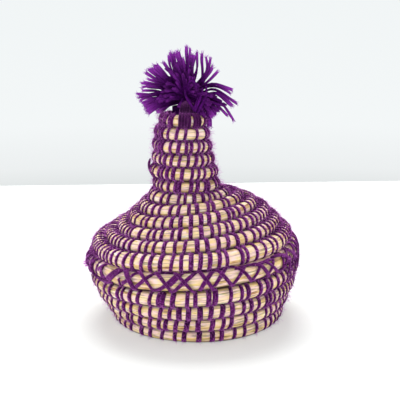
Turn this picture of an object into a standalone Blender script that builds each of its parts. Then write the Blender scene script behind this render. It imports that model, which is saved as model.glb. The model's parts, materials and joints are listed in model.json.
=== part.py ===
"""Coiled straw basket with a tall necked lid, sewn and laced with wool yarn.

Metres, +Z up, front at -Y. The origin lies on the table, under the middle of the overall box.
Each coil is one bundle of straw that runs round and round: it lies level across the front of a turn
and passes to the next turn round the back.
"""

import math

import bmesh
import bpy
from mathutils import Matrix, Vector

# Straw bundles, as radii
HEART_STRAW = 0.0026
WALL_STRAW = 0.00485
RIM_STRAW = 0.0056
LID_RIM_STRAW = 0.0054
SHOULDER_STRAW = 0.00448
NECK_STRAW = 0.0039
TIP_STRAW = 0.0010

# Clearances
YARN_BETWEEN_TURNS = 0.0007
SEAT_GAP = 0.0003

# Bowl
BASE_RADIUS = 0.0523
HEART_LEAST_RADIUS = 0.0022
WALL_ANGLES = (67.0, 63.0, 72.0, 91.5)
WALL_LEAN = 5.6
WALL_SWELL_SHARE = 0.085
FOOT_CUT_SHARE = 0.2

# Lid, from its rim up to the crown: the slope of each step and how much the sides differ
LID_INSET = 0.0029
NECK_FOOT_RADIUS = 0.0211
SHOULDER_ANGLES = (136.7, 142.5, 143.8, 147.4, 151.6)
SHOULDER_LEANS = (-8.0, -9.7, 1.9, 8.8, 13.7)
NECK_ANGLES = (114.3, 89.5, 101.3, 95.8, 99.5, 107.5)
NECK_LEANS = (5.6, 3.4, 1.7, 1.0, -2.7, -7.5)

# Coil layout
POINTS_PER_TURN = 24
MILLIMETRE = 0.001
TUBE_SIDES = 6
TUBE_FLAT_SHARE = math.cos(math.pi / TUBE_SIDES)
FLAT_SHARE = 1.0 / 3.0
EASE_SHARE = 0.2
JOIN_SHARE = 2.0 / 3.0
SQUEEZE_ROUNDS = 3
LEAST_ROOM_SHARE = 0.8
FRONT_ANGLE = -math.pi / 2

# Cross lacing on the bowl's rim
LACING_YARN = 0.0008
LACING_PERIODS = 18
LACING_POINTS = 8
LACING_LOW = -53.0
LACING_HIGH = 66.0
LACING_BACK_RISE = 38.0
LACING_BACK_LIFT_SHARE = 0.11
LACING_START_SHARE = 0.25

# Tassel
KNOB_RADIUS = 0.0070
KNOB_RISE = 0.0050
STRAND_LENGTH = 0.0270
STRAND_INSET_SHARE = 0.05
STRAND_TIP_SHARE = 0.8
STRAND_STEPS = 4
STRAND_SAG = 0.0062
STRAND_LOWEST_SHARE = -0.12
STRAND_RAGGED_SHARE = 0.1
STRAND_RAGGED_WAVES = 19.0
STALK_ROOM = 0.0008
STALK_LENGTH = 0.0145
KNOT_CATCH = 0.0015
KNOT_HEIGHT_SHARE = 0.55
KNOT_SIDES = 12

# Yarn bound over the crown's front
BINDING_THICKNESS = 0.0012
BINDING_SPAN = 42.0
BINDING_LOW = -42.0
BINDING_HIGH = 108.0
BINDING_ARC_STEPS = 10
BINDING_SPIN_STEPS = 5

# Loose yarn
TAIL_YARN = 0.0011
TAIL_POINTS = 9
NECK_TAIL_ANGLE = 178.0
NECK_TAIL_TURN = 3
NECK_TAIL_RISE = 0.0110
NECK_TAIL_BOW = 0.0006
RIM_TAIL_CROSS = 5
RIM_TAIL_LENGTH = 0.0070
RIM_TAIL_DROP = 0.0012

STRAW_COLOUR = (0.74, 0.55, 0.30)
YARN_COLOUR = (0.10, 0.018, 0.19)
STRAW_ROUGHNESS = 0.55
YARN_ROUGHNESS = 0.95


def lerp(low, high, share):
    return low + (high - low) * share


def sample(table, share):
    """The value at a share of the way along a table, from its first entry to its last."""
    at = share * (len(table) - 1)
    first = min(int(at), len(table) - 2)
    return lerp(table[first], table[first + 1], at - first)


def pitch(straw, next_straw):
    """From the middle of one turn to the middle of the turn that lies against it."""
    return straw + next_straw + YARN_BETWEEN_TURNS


FLOOR_ROOM = BASE_RADIUS - pitch(HEART_STRAW, WALL_STRAW) - HEART_LEAST_RADIUS
FLOOR_TURNS = int(FLOOR_ROOM / pitch(WALL_STRAW, WALL_STRAW))


def stack_turns(start, straws, slopes, share):
    """(radius, height, straw) of turns that lie against each other, one slope a step.

    At share 0 each turn lies in its own place, and at share 1 it has passed to the next one's.
    Between them the turns keep their distance while every slope passes over to the next.
    """
    if share > 0:
        first = pitch(straws[0], straws[1]) * share
        passed = (first * math.cos(slopes[0]), first * math.sin(slopes[0]))
        start = (start[0] + passed[0], start[1] + passed[1])
        straws = [lerp(near, far, share) for near, far in zip(straws, straws[1:])]
        slopes = [lerp(near, far, share) for near, far in zip(slopes, slopes[1:])]
    rings = [(*start, straws[0])]
    for straw, slope in zip(straws[1:], slopes):
        radius, height, last = rings[-1]
        reach = pitch(last, straw)
        rings.append((radius + reach * math.cos(slope), height + reach * math.sin(slope), straw))
    return rings


def bowl_rings(angle, share=0.0):
    """The bowl's turns at one angle round it, heart to rim."""
    swollen = WALL_STRAW * (1 + WALL_SWELL_SHARE * math.cos(angle))
    wall = [swollen] * len(WALL_ANGLES)
    straws = [HEART_STRAW] + [WALL_STRAW] * FLOOR_TURNS + wall + [RIM_STRAW]
    seated = 1 - FOOT_CUT_SHARE
    radius = BASE_RADIUS
    slopes = [math.radians(degrees + WALL_LEAN * math.cos(angle)) for degrees in WALL_ANGLES]
    for inner, outer in reversed(list(zip(straws, straws[1:FLOOR_TURNS + 2]))):
        reach = pitch(inner, outer)
        slopes.insert(0, math.asin((outer - inner) * seated / reach))
        radius -= reach * math.cos(slopes[0])
    return stack_turns((radius, HEART_STRAW * seated), straws, slopes, share)


RIM_RIGHT = bowl_rings(0.0)[-1]
RIM_LEFT = bowl_rings(math.pi)[-1]
RIM_RADIUS = math.hypot(RIM_RIGHT[0] + RIM_LEFT[0], RIM_RIGHT[1] - RIM_LEFT[1]) / 2
RIM_HEIGHT = (RIM_RIGHT[1] + RIM_LEFT[1]) / 2
RIM_TILT = math.atan2(RIM_RIGHT[1] - RIM_LEFT[1], RIM_RIGHT[0] + RIM_LEFT[0])
BOWL_CENTRE = Vector(((RIM_LEFT[0] - RIM_RIGHT[0]) / 2, 0, 0))

BOWL_RIM_TURN = FLOOR_TURNS + len(WALL_ANGLES) + 1

def shoulder_slopes(count):
    """(slope, lean) of each step over the shoulder, for this many steps."""
    shares = [step / (count - 1) for step in range(count)]
    return [(sample(SHOULDER_ANGLES, share), sample(SHOULDER_LEANS, share)) for share in shares]


def inward_run(slopes):
    """How far the steps of the shoulder bring the lid in."""
    straws = [LID_RIM_STRAW] + [SHOULDER_STRAW] * len(slopes)
    reaches = [pitch(straw, following) for straw, following in zip(straws, straws[1:])]
    return -sum(reach * math.cos(math.radians(slope)) for reach, (slope, _) in zip(reaches, slopes))


SHOULDER_RUN = RIM_RADIUS - LID_INSET - NECK_FOOT_RADIUS
DRAWN_RUN = inward_run(shoulder_slopes(len(SHOULDER_ANGLES)))
SHOULDER_TURNS = max(2, round(len(SHOULDER_ANGLES) * SHOULDER_RUN / DRAWN_RUN))
SHOULDER_STRETCH_SHARE = SHOULDER_RUN / inward_run(shoulder_slopes(SHOULDER_TURNS))
LID_NECK_TURNS = len(NECK_ANGLES)
LID_RIM_TURN = LID_NECK_TURNS + SHOULDER_TURNS


def lid_rings(angle, share=0.0):
    """The lid's turns at one angle round it, crown to rim, above the plane of the bowl's rim."""
    start = (RIM_RADIUS - LID_INSET, (RIM_STRAW + LID_RIM_STRAW) * TUBE_FLAT_SHARE + SEAT_GAP)
    straws = [LID_RIM_STRAW] + [SHOULDER_STRAW] * SHOULDER_TURNS + [NECK_STRAW] * LID_NECK_TURNS
    slopes = []
    for degrees, lean in shoulder_slopes(SHOULDER_TURNS):
        stretched = math.acos(max(-1.0, math.cos(math.radians(degrees)) * SHOULDER_STRETCH_SHARE))
        slopes.append(stretched + math.radians(lean) * math.cos(angle))
    for degrees, lean in zip(NECK_ANGLES, NECK_LEANS):
        slopes.append(math.radians(degrees + lean * math.cos(angle)))
    risen = 1 - share if share > 0 else 0.0
    return stack_turns(start, straws, slopes, risen)[::-1]


def turn_angle(turn):
    return FRONT_ANGLE + math.tau * (turn - FLAT_SHARE / 2)


def climb_share(turn):
    """How far the bundle has passed to its next turn: level at the front, then an even climb."""
    part = max(0.0, (turn % 1.0 - FLAT_SHARE) / (1 - FLAT_SHARE))
    near = min(part, 1 - part)
    if near < EASE_SHARE:
        eased = near * near / (2 * EASE_SHARE * (1 - EASE_SHARE))
    else:
        eased = (near - EASE_SHARE / 2) / (1 - EASE_SHARE)
    return eased if part <= 0.5 else 1 - eased


def place(ring, angle):
    radius, height, straw = ring
    return Vector((radius * math.cos(angle), radius * math.sin(angle), height)), straw


def tucked_ring(kept, beside, passing):
    """A thinned end that shares the room of one turn with the bundle that is passing into it."""
    apart = math.hypot(kept[0] - beside[0], kept[1] - beside[1])
    out = ((kept[0] - beside[0]) / apart, (kept[1] - beside[1]) / apart)
    passed = (kept[0] - passing[0]) * out[0] + (kept[1] - passing[1]) * out[1]
    straw = (passed + kept[2] - passing[2] - YARN_BETWEEN_TURNS) / 2
    push = kept[2] - straw
    return kept[0] + out[0] * push, kept[1] + out[1] * push, straw


def coil_point(rings_at, turn):
    """Centre and straw radius of a coil after this many turns."""
    angle = turn_angle(turn)
    share = climb_share(turn)
    level = math.floor(turn)
    settled = rings_at(angle)
    rings = rings_at(angle, share)
    if level < 0:
        ring = tucked_ring(settled[0], settled[1], rings[0])
    elif level < len(rings):
        ring = rings[level]
    else:
        ring = tucked_ring(settled[-1], settled[-2], rings[-1])
    return place(ring, angle)


def segment_gap(point, straw, start, end):
    """Room between a ball on one part of a path and a tapered stretch of another part."""
    along = end[0] - start[0]
    share = (point - start[0]).dot(along) / along.length_squared
    share = min(1.0, max(0.0, share))
    return (point - start[0] - along * share).length - straw - lerp(start[1], end[1], share)


def turn_gaps(path):
    """(room, point, segment) for every point and every stretch that is half a turn or more from it."""
    half_turn = POINTS_PER_TURN // 2
    for index, (point, straw) in enumerate(path):
        for other in range(index + half_turn, len(path) - 1):
            yield segment_gap(point, straw, path[other], path[other + 1]), index, other


def wind_coil(rings_at, first_turn, last_turn):
    """The whole coil as {step: (point, straw)}, thinned wherever two turns would crowd each other."""
    steps = range(round(first_turn * POINTS_PER_TURN), round(last_turn * POINTS_PER_TURN) + 1)
    found = [(step, *coil_point(rings_at, step / POINTS_PER_TURN)) for step in steps]
    found = [(step, point, straw) for step, point, straw in found if straw > TIP_STRAW]
    path = [(point, straw) for _, point, straw in found]
    for _ in range(SQUEEZE_ROUNDS):
        allowed = [straw for _, straw in path]
        for room, index, other in turn_gaps(path):
            lack = LEAST_ROOM_SHARE * YARN_BETWEEN_TURNS - room
            if lack > 0:
                for near in (index, other, other + 1):
                    allowed[near] = min(allowed[near], path[near][1] - lack / 2)
        path = [(point, straw) for (point, _), straw in zip(path, allowed)]
    return {step: place_and_straw for (step, _, _), place_and_straw in zip(found, path)}


def coil_path(coil, first_step, last_step):
    """One stretch of a coil, with a square end wherever the coil goes on."""
    path = [coil[step] for step in range(first_step, last_step + 1) if step in coil]
    if first_step - 1 in coil:
        path.insert(0, joint_end(coil[first_step - 1], path[0]))
    if last_step + 1 in coil:
        path.append(joint_end(coil[last_step + 1], path[-1]))
    return path


def joint_end(beyond, last):
    """Half of the seat gap short of the middle between two points of the coil."""
    middle = (beyond[0] + last[0]) / 2
    back = (last[0] - middle).normalized() * SEAT_GAP / 2
    return middle + back, (beyond[1] + last[1]) / 2


def print_least_gap(name, path):
    """Measures the least room between one turn and the next on the path's own points."""
    least = min(room for room, _, _ in turn_gaps(path))
    print(f"{name}: least gap to itself {least / MILLIMETRE:.2f} mm")


def paint(item, name, colour, roughness):
    material = bpy.data.materials.new(name)
    material.use_nodes = True
    shader = material.node_tree.nodes["Principled BSDF"]
    shader.inputs["Base Color"].default_value = (*colour, 1.0)
    shader.inputs["Roughness"].default_value = roughness
    shader.inputs["Metallic"].default_value = 0.0
    item.data.materials.append(material)


def paint_straw(item):
    paint(item, item.name + "_straw", STRAW_COLOUR, STRAW_ROUGHNESS)


def paint_yarn(item):
    paint(item, item.name + "_yarn", YARN_COLOUR, YARN_ROUGHNESS)


def add_tube(name, path, thickest):
    """A round tube along a path of points and radii, as a curve with filled ends."""
    curve = bpy.data.curves.new(name, "CURVE")
    curve.dimensions = "3D"
    curve.twist_mode = "Z_UP"
    curve.bevel_depth = thickest
    curve.bevel_resolution = 1
    curve.render_resolution_u = 0
    curve.use_fill_caps = True
    spline = curve.splines.new("POLY")
    spline.points.add(len(path) - 1)
    for point, (place_at, straw) in zip(spline.points, path):
        point.co = (*place_at, 1.0)
        point.radius = straw / thickest
    item = bpy.data.objects.new(name, curve)
    bpy.context.scene.collection.objects.link(item)
    return item


def add_mesh(name, shape):
    mesh = bpy.data.meshes.new(name)
    shape.to_mesh(mesh)
    shape.free()
    item = bpy.data.objects.new(name, mesh)
    bpy.context.scene.collection.objects.link(item)
    return item


def add_table_guide():
    """The slab of table that the bowl's foot is cut flat against."""
    reach = BASE_RADIUS + WALL_STRAW * 2
    shape = bmesh.new()
    size = Matrix.Diagonal((2 * reach, 2 * reach, WALL_STRAW, 1))
    down = Matrix.Translation(BOWL_CENTRE - Vector((0, 0, WALL_STRAW / 2)))
    bmesh.ops.create_cube(shape, size=1, matrix=down @ size)
    guide = add_mesh("table_guide", shape)
    guide.hide_render = True
    guide.display_type = "WIRE"
    return guide


def cut_foot(item, guide):
    """Turns the tube into a mesh and cuts it flat where it stands on the table."""
    bpy.context.view_layer.update()
    name = item.name
    tube = item.data
    solid = bpy.data.meshes.new_from_object(item.evaluated_get(bpy.context.evaluated_depsgraph_get()))
    bpy.data.objects.remove(item)
    bpy.data.curves.remove(tube)
    solid.name = name
    foot = bpy.data.objects.new(name, solid)
    bpy.context.scene.collection.objects.link(foot)
    cut = foot.modifiers.new("foot", "BOOLEAN")
    cut.operation = "DIFFERENCE"
    cut.solver = "EXACT"
    cut.object = guide
    return foot


def add_stretches(coil, names, joins, centre):
    """A tube for each stretch of a coil, from one join to the next."""
    ends = [round(turn * POINTS_PER_TURN) for turn in joins]
    starts = [min(coil)] + [end + 1 for end in ends]
    ends.append(max(coil))
    tubes = []
    for name, first, last in zip(names, starts, ends):
        path = coil_path(coil, first, last)
        print_least_gap(name, path)
        thickest = max(straw for _, straw in path)
        tubes.append(add_tube(name, [(point + centre, straw) for point, straw in path], thickest))
    return tubes


def add_bowl():
    """Floor, wall and thick rim of the bowl, each a stretch of one coil."""
    coil = wind_coil(bowl_rings, 0, BOWL_RIM_TURN + 1)
    joins = (FLOOR_TURNS + JOIN_SHARE, BOWL_RIM_TURN - 1 + JOIN_SHARE)
    names = ("bowl_floor_coil", "bowl_wall_coil", "bowl_rim_coil")
    floor, wall, rim = add_stretches(coil, names, joins, BOWL_CENTRE)
    guide = add_table_guide()
    for item in (cut_foot(floor, guide), cut_foot(wall, guide), rim):
        paint_straw(item)


def rim_face_point(angle, slope, lift):
    """A point proud of the bowl's rim, at a slope round the bundle from level outwards."""
    radius, height, straw = bowl_rings(angle)[-1]
    reach = straw + SEAT_GAP + LACING_YARN + lift
    ring = (radius + reach * math.cos(slope), height + reach * math.sin(slope), straw)
    return place(ring, angle)[0] + BOWL_CENTRE


def lacing_path(side, is_over):
    """One yarn that zigzags over the rim's outer face, high and low by turns."""
    steps = LACING_PERIODS * LACING_POINTS
    start = turn_angle(JOIN_SHARE)
    path = []
    for step in range(1, steps):
        phase = (step / LACING_POINTS + LACING_START_SHARE) % 1.0
        height = side * (4 * abs(phase - math.floor(phase + 0.5)) - 1)
        angle = start + math.tau * step / steps
        turn = (angle - turn_angle(0)) / math.tau
        share = climb_share(turn)
        low = LACING_LOW + LACING_BACK_RISE * 4 * share * (1 - share)
        slope = math.radians(lerp(low, LACING_HIGH, (height + 1) / 2))
        lift = RIM_STRAW * LACING_BACK_LIFT_SHARE * math.sin(math.pi * share)
        if is_over:
            lift += (2 * LACING_YARN + SEAT_GAP) * math.cos(height * math.pi / 2) ** 2
        path.append((rim_face_point(angle, slope, lift), LACING_YARN))
    return path


def add_lacing():
    """Two crossing yarns that bind the thick rim in a row of crosses."""
    for name, side, is_over in (("rim_lacing_under", 1, False), ("rim_lacing_over", -1, True)):
        paint_yarn(add_tube(name, lacing_path(side, is_over), LACING_YARN))


def add_lid_seat():
    """The plane of the bowl's rim, which is higher on the right; the lid is built square to it."""
    seat = bpy.data.objects.new("lid_seat", None)
    bpy.context.scene.collection.objects.link(seat)
    seat.location = (0, 0, RIM_HEIGHT)
    seat.rotation_euler = (0, -RIM_TILT, 0)
    return seat


def add_lid(seat):
    """Neck, shoulder and thick rim of the lid, each a stretch of the coil."""
    coil = wind_coil(lid_rings, FLAT_SHARE - 1, LID_RIM_TURN + 1)
    joins = (LID_NECK_TURNS - 1 + JOIN_SHARE, LID_RIM_TURN - 1 + JOIN_SHARE)
    names = ("lid_neck_coil", "lid_shoulder_coil", "lid_rim_coil")
    for item in add_stretches(coil, names, joins, Vector((0, 0, 0))):
        paint_straw(item)
        item.parent = seat


def crown_middle():
    """The middle of the crown turn, where the tassel passes through it."""
    right = lid_rings(0.0)[0]
    left = lid_rings(math.pi)[0]
    return Vector(((right[0] - left[0]) / 2, 0, (right[1] + left[1]) / 2))


def droop(point, middle):
    """Strands bend over like a fountain: the farther out, the lower."""
    out = math.hypot(point.x - middle.x, point.y - middle.y)
    return Vector((point.x, point.y, point.z - STRAND_SAG * (out / STRAND_LENGTH) ** 2))


def add_tassel(seat):
    """Yarn strands fused to one knob, with a stalk through the crown and a knot below it."""
    middle = crown_middle() + Vector((0, 0, NECK_STRAW + KNOB_RISE))
    shape = bmesh.new()
    bmesh.ops.create_icosphere(shape, subdivisions=2, radius=KNOB_RADIUS, matrix=Matrix.Translation(middle))
    roots = [face for face in shape.faces if face.normal.z > STRAND_LOWEST_SHARE]
    inset = KNOB_RADIUS * STRAND_INSET_SHARE
    bmesh.ops.inset_individual(shape, faces=roots, thickness=inset, use_even_offset=True)
    outward = {face: (face.calc_center_median() - middle).normalized() for face in roots}
    for root in roots:
        face = root
        way = outward[root]
        ragged = math.sin(STRAND_RAGGED_WAVES * (way.x + way.y))
        length = STRAND_LENGTH * (1 + STRAND_RAGGED_SHARE * ragged)
        for _ in range(STRAND_STEPS):
            grown = bmesh.ops.extrude_discrete_faces(shape, faces=[face])["faces"]
            face = grown[0]
            slide = way * length / STRAND_STEPS
            bmesh.ops.translate(shape, verts=face.verts[:], vec=slide)
        centre = face.calc_center_median()
        shrink = Matrix.Translation(centre) @ Matrix.Scale(STRAND_TIP_SHARE, 4) @ Matrix.Translation(-centre)
        bmesh.ops.transform(shape, matrix=shrink, verts=face.verts[:])
    for vert in shape.verts:
        vert.co = droop(vert.co, middle)
    tassel = add_mesh("tassel", shape)
    paint_yarn(tassel)
    tassel.parent = seat
    stalk = add_stalk(middle)
    stalk.parent = seat
    union = tassel.modifiers.new("stalk", "BOOLEAN")
    union.operation = "UNION"
    union.solver = "EXACT"
    union.object = stalk
    return tassel


def add_stalk(middle):
    """The bound bundle below the knob, and the knot that is too wide for the crown's hole."""
    hole = lid_rings(FRONT_ANGLE)[0][0] - NECK_STRAW
    stalk_radius = hole - STALK_ROOM
    knot_radius = hole + KNOT_CATCH
    profile = [(0, 0), (stalk_radius, 0), (stalk_radius, -STALK_LENGTH)]
    half = knot_radius * KNOT_HEIGHT_SHARE
    start = math.acos(stalk_radius / knot_radius)
    for step in range(1, KNOT_SIDES // 2 + 1):
        turn = lerp(start, -math.pi / 2, step / (KNOT_SIDES // 2))
        depth = -STALK_LENGTH - half * (math.sin(start) - math.sin(turn))
        profile.append((knot_radius * math.cos(turn), depth))
    profile[-1] = (0, profile[-1][1])
    shape = bmesh.new()
    verts = [shape.verts.new(middle + Vector((out, 0, up))) for out, up in profile]
    edges = [shape.edges.new(pair) for pair in zip(verts, verts[1:])]
    axis = (0, 0, 1)
    bmesh.ops.spin(shape, geom=verts + edges, cent=middle, axis=axis, angle=math.tau, steps=KNOT_SIDES)
    bmesh.ops.remove_doubles(shape, verts=shape.verts[:], dist=SEAT_GAP / 10)
    bmesh.ops.recalc_face_normals(shape, faces=shape.faces[:])
    stalk = add_mesh("stalk_guide", shape)
    stalk.hide_render = True
    stalk.display_type = "WIRE"
    return stalk


def add_binding(seat):
    """Yarn wound side by side over the front of the crown, where the tassel is tied down."""
    radius, height, straw = lid_rings(FRONT_ANGLE)[0]
    inner = straw + SEAT_GAP
    outer = inner + BINDING_THICKNESS
    shape = bmesh.new()
    outline = []
    shares = [step / BINDING_ARC_STEPS for step in range(BINDING_ARC_STEPS + 1)]
    slopes = [lerp(BINDING_LOW, BINDING_HIGH, share) for share in shares]
    for reach, run in ((inner, slopes), (outer, reversed(slopes))):
        for slope in run:
            turn = math.radians(slope)
            ring = (radius + reach * math.cos(turn), height + reach * math.sin(turn), straw)
            point, _ = place(ring, FRONT_ANGLE - math.radians(BINDING_SPAN / 2))
            outline.append(shape.verts.new(point))
    face = shape.faces.new(outline)
    span = math.radians(BINDING_SPAN)
    bmesh.ops.spin(shape, geom=[face], cent=(0, 0, 0), axis=(0, 0, 1), angle=span,
                   steps=BINDING_SPIN_STEPS, use_merge=False)
    bmesh.ops.recalc_face_normals(shape, faces=shape.faces[:])
    binding = add_mesh("tassel_binding", shape)
    paint_yarn(binding)
    binding.parent = seat


def add_neck_tail(seat):
    """A loose end of sewing yarn that stands up along the neck's left side."""
    angle = math.radians(NECK_TAIL_ANGLE)
    since_front = (angle - turn_angle(0)) / math.tau
    beside = lid_rings(angle, climb_share(since_front))[NECK_TAIL_TURN]
    path = []
    for step in range(TAIL_POINTS):
        share = step / (TAIL_POINTS - 1)
        out = beside[0] + beside[2] + SEAT_GAP + TAIL_YARN + NECK_TAIL_BOW * math.sin(math.pi * share)
        up = beside[1] + NECK_TAIL_RISE * (share - 0.5)
        path.append((place((out, up, beside[2]), angle)[0], TAIL_YARN))
    tail = add_tube("neck_yarn_tail", path, TAIL_YARN)
    paint_yarn(tail)
    tail.parent = seat


def add_rim_tail():
    """A short end of lacing yarn that sticks out between two crosses at the rim's left side."""
    angle = turn_angle(JOIN_SHARE) + math.tau * (RIM_TAIL_CROSS - LACING_START_SHARE) / LACING_PERIODS
    radius, height, straw = bowl_rings(angle)[-1]
    start = straw + SEAT_GAP
    path = []
    for step in range(TAIL_POINTS):
        share = step / (TAIL_POINTS - 1)
        out = radius + start + RIM_TAIL_LENGTH * share
        up = height - RIM_TAIL_DROP * share * share
        path.append((place((out, up, straw), angle)[0] + BOWL_CENTRE, TAIL_YARN))
    paint_yarn(add_tube("rim_yarn_tail", path, TAIL_YARN))


def clear_scene():
    for item in list(bpy.data.objects):
        bpy.data.objects.remove(item, do_unlink=True)


def centre_over_origin():
    """Moves the basket so that the middle of its overall width and depth is over the origin."""
    depsgraph = bpy.context.evaluated_depsgraph_get()
    shown = [item for item in bpy.data.objects if item.type != "EMPTY" and not item.hide_render]
    places = []
    for item in shown:
        solid = item.evaluated_get(depsgraph)
        places += [item.matrix_world @ vert.co for vert in solid.to_mesh().vertices]
        solid.to_mesh_clear()
    for axis in (0, 1):
        along = [place_at[axis] for place_at in places]
        for item in bpy.data.objects:
            if item.parent is None:
                item.location[axis] -= (min(along) + max(along)) / 2


def main():
    clear_scene()
    add_bowl()
    add_lacing()
    seat = add_lid_seat()
    add_lid(seat)
    add_tassel(seat)
    add_binding(seat)
    add_neck_tail(seat)
    add_rim_tail()
    centre_over_origin()


main()
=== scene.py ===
# %% [markdown]
# # A coiled straw basket with a tall lid
#
# The real basket is made of two things only: straw and purple wool. A bundle of straw runs round and
# round as a coil, and wool yarn is wrapped round it and sewn through the turn before. The bowl and the lid
# are two such coils. A row of crosses binds the bowl's rim, and a tassel stands on the crown.
#
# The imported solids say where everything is. They are loaded first and never moved.

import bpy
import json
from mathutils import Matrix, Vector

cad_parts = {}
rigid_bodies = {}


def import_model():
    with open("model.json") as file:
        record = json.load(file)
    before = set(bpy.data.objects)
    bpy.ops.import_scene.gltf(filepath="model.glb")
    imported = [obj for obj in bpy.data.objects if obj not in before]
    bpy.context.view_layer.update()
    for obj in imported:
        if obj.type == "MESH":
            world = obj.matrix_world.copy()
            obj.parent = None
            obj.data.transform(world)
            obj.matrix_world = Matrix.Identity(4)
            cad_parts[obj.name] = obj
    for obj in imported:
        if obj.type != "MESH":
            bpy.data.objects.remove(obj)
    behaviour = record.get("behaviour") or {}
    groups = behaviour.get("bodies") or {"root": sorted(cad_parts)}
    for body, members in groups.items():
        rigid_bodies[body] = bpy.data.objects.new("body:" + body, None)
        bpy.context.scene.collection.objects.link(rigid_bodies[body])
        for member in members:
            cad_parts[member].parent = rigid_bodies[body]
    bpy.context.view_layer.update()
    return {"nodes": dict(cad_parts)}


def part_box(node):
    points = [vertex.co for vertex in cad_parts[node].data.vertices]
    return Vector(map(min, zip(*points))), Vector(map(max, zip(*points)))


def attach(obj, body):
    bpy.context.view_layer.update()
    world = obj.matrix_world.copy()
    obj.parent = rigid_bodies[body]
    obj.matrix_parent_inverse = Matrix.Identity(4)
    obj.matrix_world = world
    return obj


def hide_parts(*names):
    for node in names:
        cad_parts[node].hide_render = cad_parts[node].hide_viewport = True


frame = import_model()

import functools
import json
import math

import bpy
import numpy as np
from mathutils import Matrix, Vector

print("solids:", sorted(frame["nodes"]))

# %% [markdown]
# ## The camera
#
# The outline of the basket and the seams between its turns were measured in the photograph, and the
# camera was worked out from them. It stands a little above the basket and looks down by 14 degrees, with a
# long lens, so that the rim looks like a narrow oval. The picture is taken to be 400 pixels square. A camera
# placed by eye would be a little off, and so would everything below that is placed by pixels.

# %% Camera
PICTURE_SIZE = 400
SENSOR_WIDTH = 36.0
LENS_LENGTH = 81.0
CAMERA_PLACE = Vector((0.0069, -0.57685, 0.222))
CAMERA_PITCH = 14.04
CAMERA_ROLL = -0.1
CLIP_START = 0.01

bpy.ops.object.select_all(action="DESELECT")
bpy.ops.object.camera_add()
camera = bpy.context.object
camera.name = "photo_camera"
camera.data.lens = LENS_LENGTH
camera.data.sensor_width = SENSOR_WIDTH
camera.data.clip_start = CLIP_START
pitch_turn = Matrix.Rotation(math.radians(90 - CAMERA_PITCH), 4, "X")
roll_turn = Matrix.Rotation(math.radians(CAMERA_ROLL), 4, "Z")
camera.matrix_world = Matrix.Translation(CAMERA_PLACE) @ pitch_turn @ roll_turn
bpy.context.scene.camera = camera
bpy.context.view_layer.update()


def pixel_ray(across, down):
    """The direction from the camera through a pixel of the picture."""
    long_side = PICTURE_SIZE * LENS_LENGTH / SENSOR_WIDTH
    ray = Vector((across - PICTURE_SIZE / 2, PICTURE_SIZE / 2 - down, -long_side))
    return camera.matrix_world.to_3x3() @ ray


def table_point(across, down):
    """The point of the table that shows at a pixel."""
    ray = pixel_ray(across, down)
    return CAMERA_PLACE - ray * (CAMERA_PLACE.z / ray.z)


def facing_point(across, down, depth_y):
    """The point that shows at a pixel, in the upright plane y = depth_y."""
    ray = pixel_ray(across, down)
    return CAMERA_PLACE + ray * ((depth_y - CAMERA_PLACE.y) / ray.y)


print("picture centre meets the table at", table_point(PICTURE_SIZE / 2, PICTURE_SIZE / 2))

# %% [markdown]
# ## Table, backdrop and light
#
# The basket stands on a white table that ends in front of a pale wall. The table is one plane whose back
# edge lies where the wall starts, and the wall is the colour of the world behind it, so that nothing is in
# the way when the basket is looked at from behind. That colour darkens towards the table line, as a painted
# shade. Big soft lamps and a bright world give light from all sides, with more from above and from the left.

# %% Node helpers
MIX_SOCKETS = {"Factor": 0, "A": 6, "B": 7}
MIX_RESULT = 2


def add_node(tree, kind, **settings):
    """Adds a node. A setting is a property, or a value for the input of that name or, as in_1, number."""
    node = tree.nodes.new("ShaderNode" + kind)
    for name, value in settings.items():
        if name.startswith("in_"):
            node.inputs[int(name[3:])].default_value = value
        elif hasattr(node, name):
            setattr(node, name, value)
        else:
            node.inputs[name.replace("_", " ")].default_value = value
    return node


def join(tree, *pairs):
    """Links outputs to inputs, given as (node, output, node, input). A Mix node's are its colour sockets."""
    for giver, output, taker, entry in pairs:
        source = giver.outputs[MIX_RESULT if giver.bl_idname == "ShaderNodeMix" else output]
        target = taker.inputs[MIX_SOCKETS[entry] if taker.bl_idname == "ShaderNodeMix" else entry]
        tree.links.new(source, target)


def new_group(name, inputs, outputs):
    """An empty node group with named sockets: {name: (kind, value)} for inputs, {name: kind} for outputs."""
    group = bpy.data.node_groups.new(name, "ShaderNodeTree")
    for socket_name, (kind, value) in inputs.items():
        socket = group.interface.new_socket(socket_name, in_out="INPUT", socket_type="NodeSocket" + kind)
        if value is not None:
            socket.default_value = value
    for socket_name, kind in outputs.items():
        group.interface.new_socket(socket_name, in_out="OUTPUT", socket_type="NodeSocket" + kind)
    return group, group.nodes.new("NodeGroupInput"), group.nodes.new("NodeGroupOutput")


def new_material(name, **values):
    """A material with only its Principled shader, with these values, and its output."""
    material = bpy.data.materials.new(name)
    material.use_nodes = True
    shader = material.node_tree.nodes["Principled BSDF"]
    for socket_name, value in values.items():
        shader.inputs[socket_name.replace("_", " ")].default_value = value
    return material, shader


def ramp(tree, stops):
    """A colour ramp from (place, colour) stops."""
    node = tree.nodes.new("ShaderNodeValToRGB")
    elements = node.color_ramp.elements
    while len(elements) < len(stops):
        elements.new(0.5)
    for element, (place, colour) in zip(elements, stops):
        element.position = place
        element.color = (*colour, 1)
    return node


# %% Table
WALL_LINE_LEFT = 186
WALL_LINE_RIGHT = 181
TABLE_REACH = 1.0
TABLE_COLOUR = (0.915, 0.935, 0.925)
TABLE_GLOW = 0.28


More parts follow.
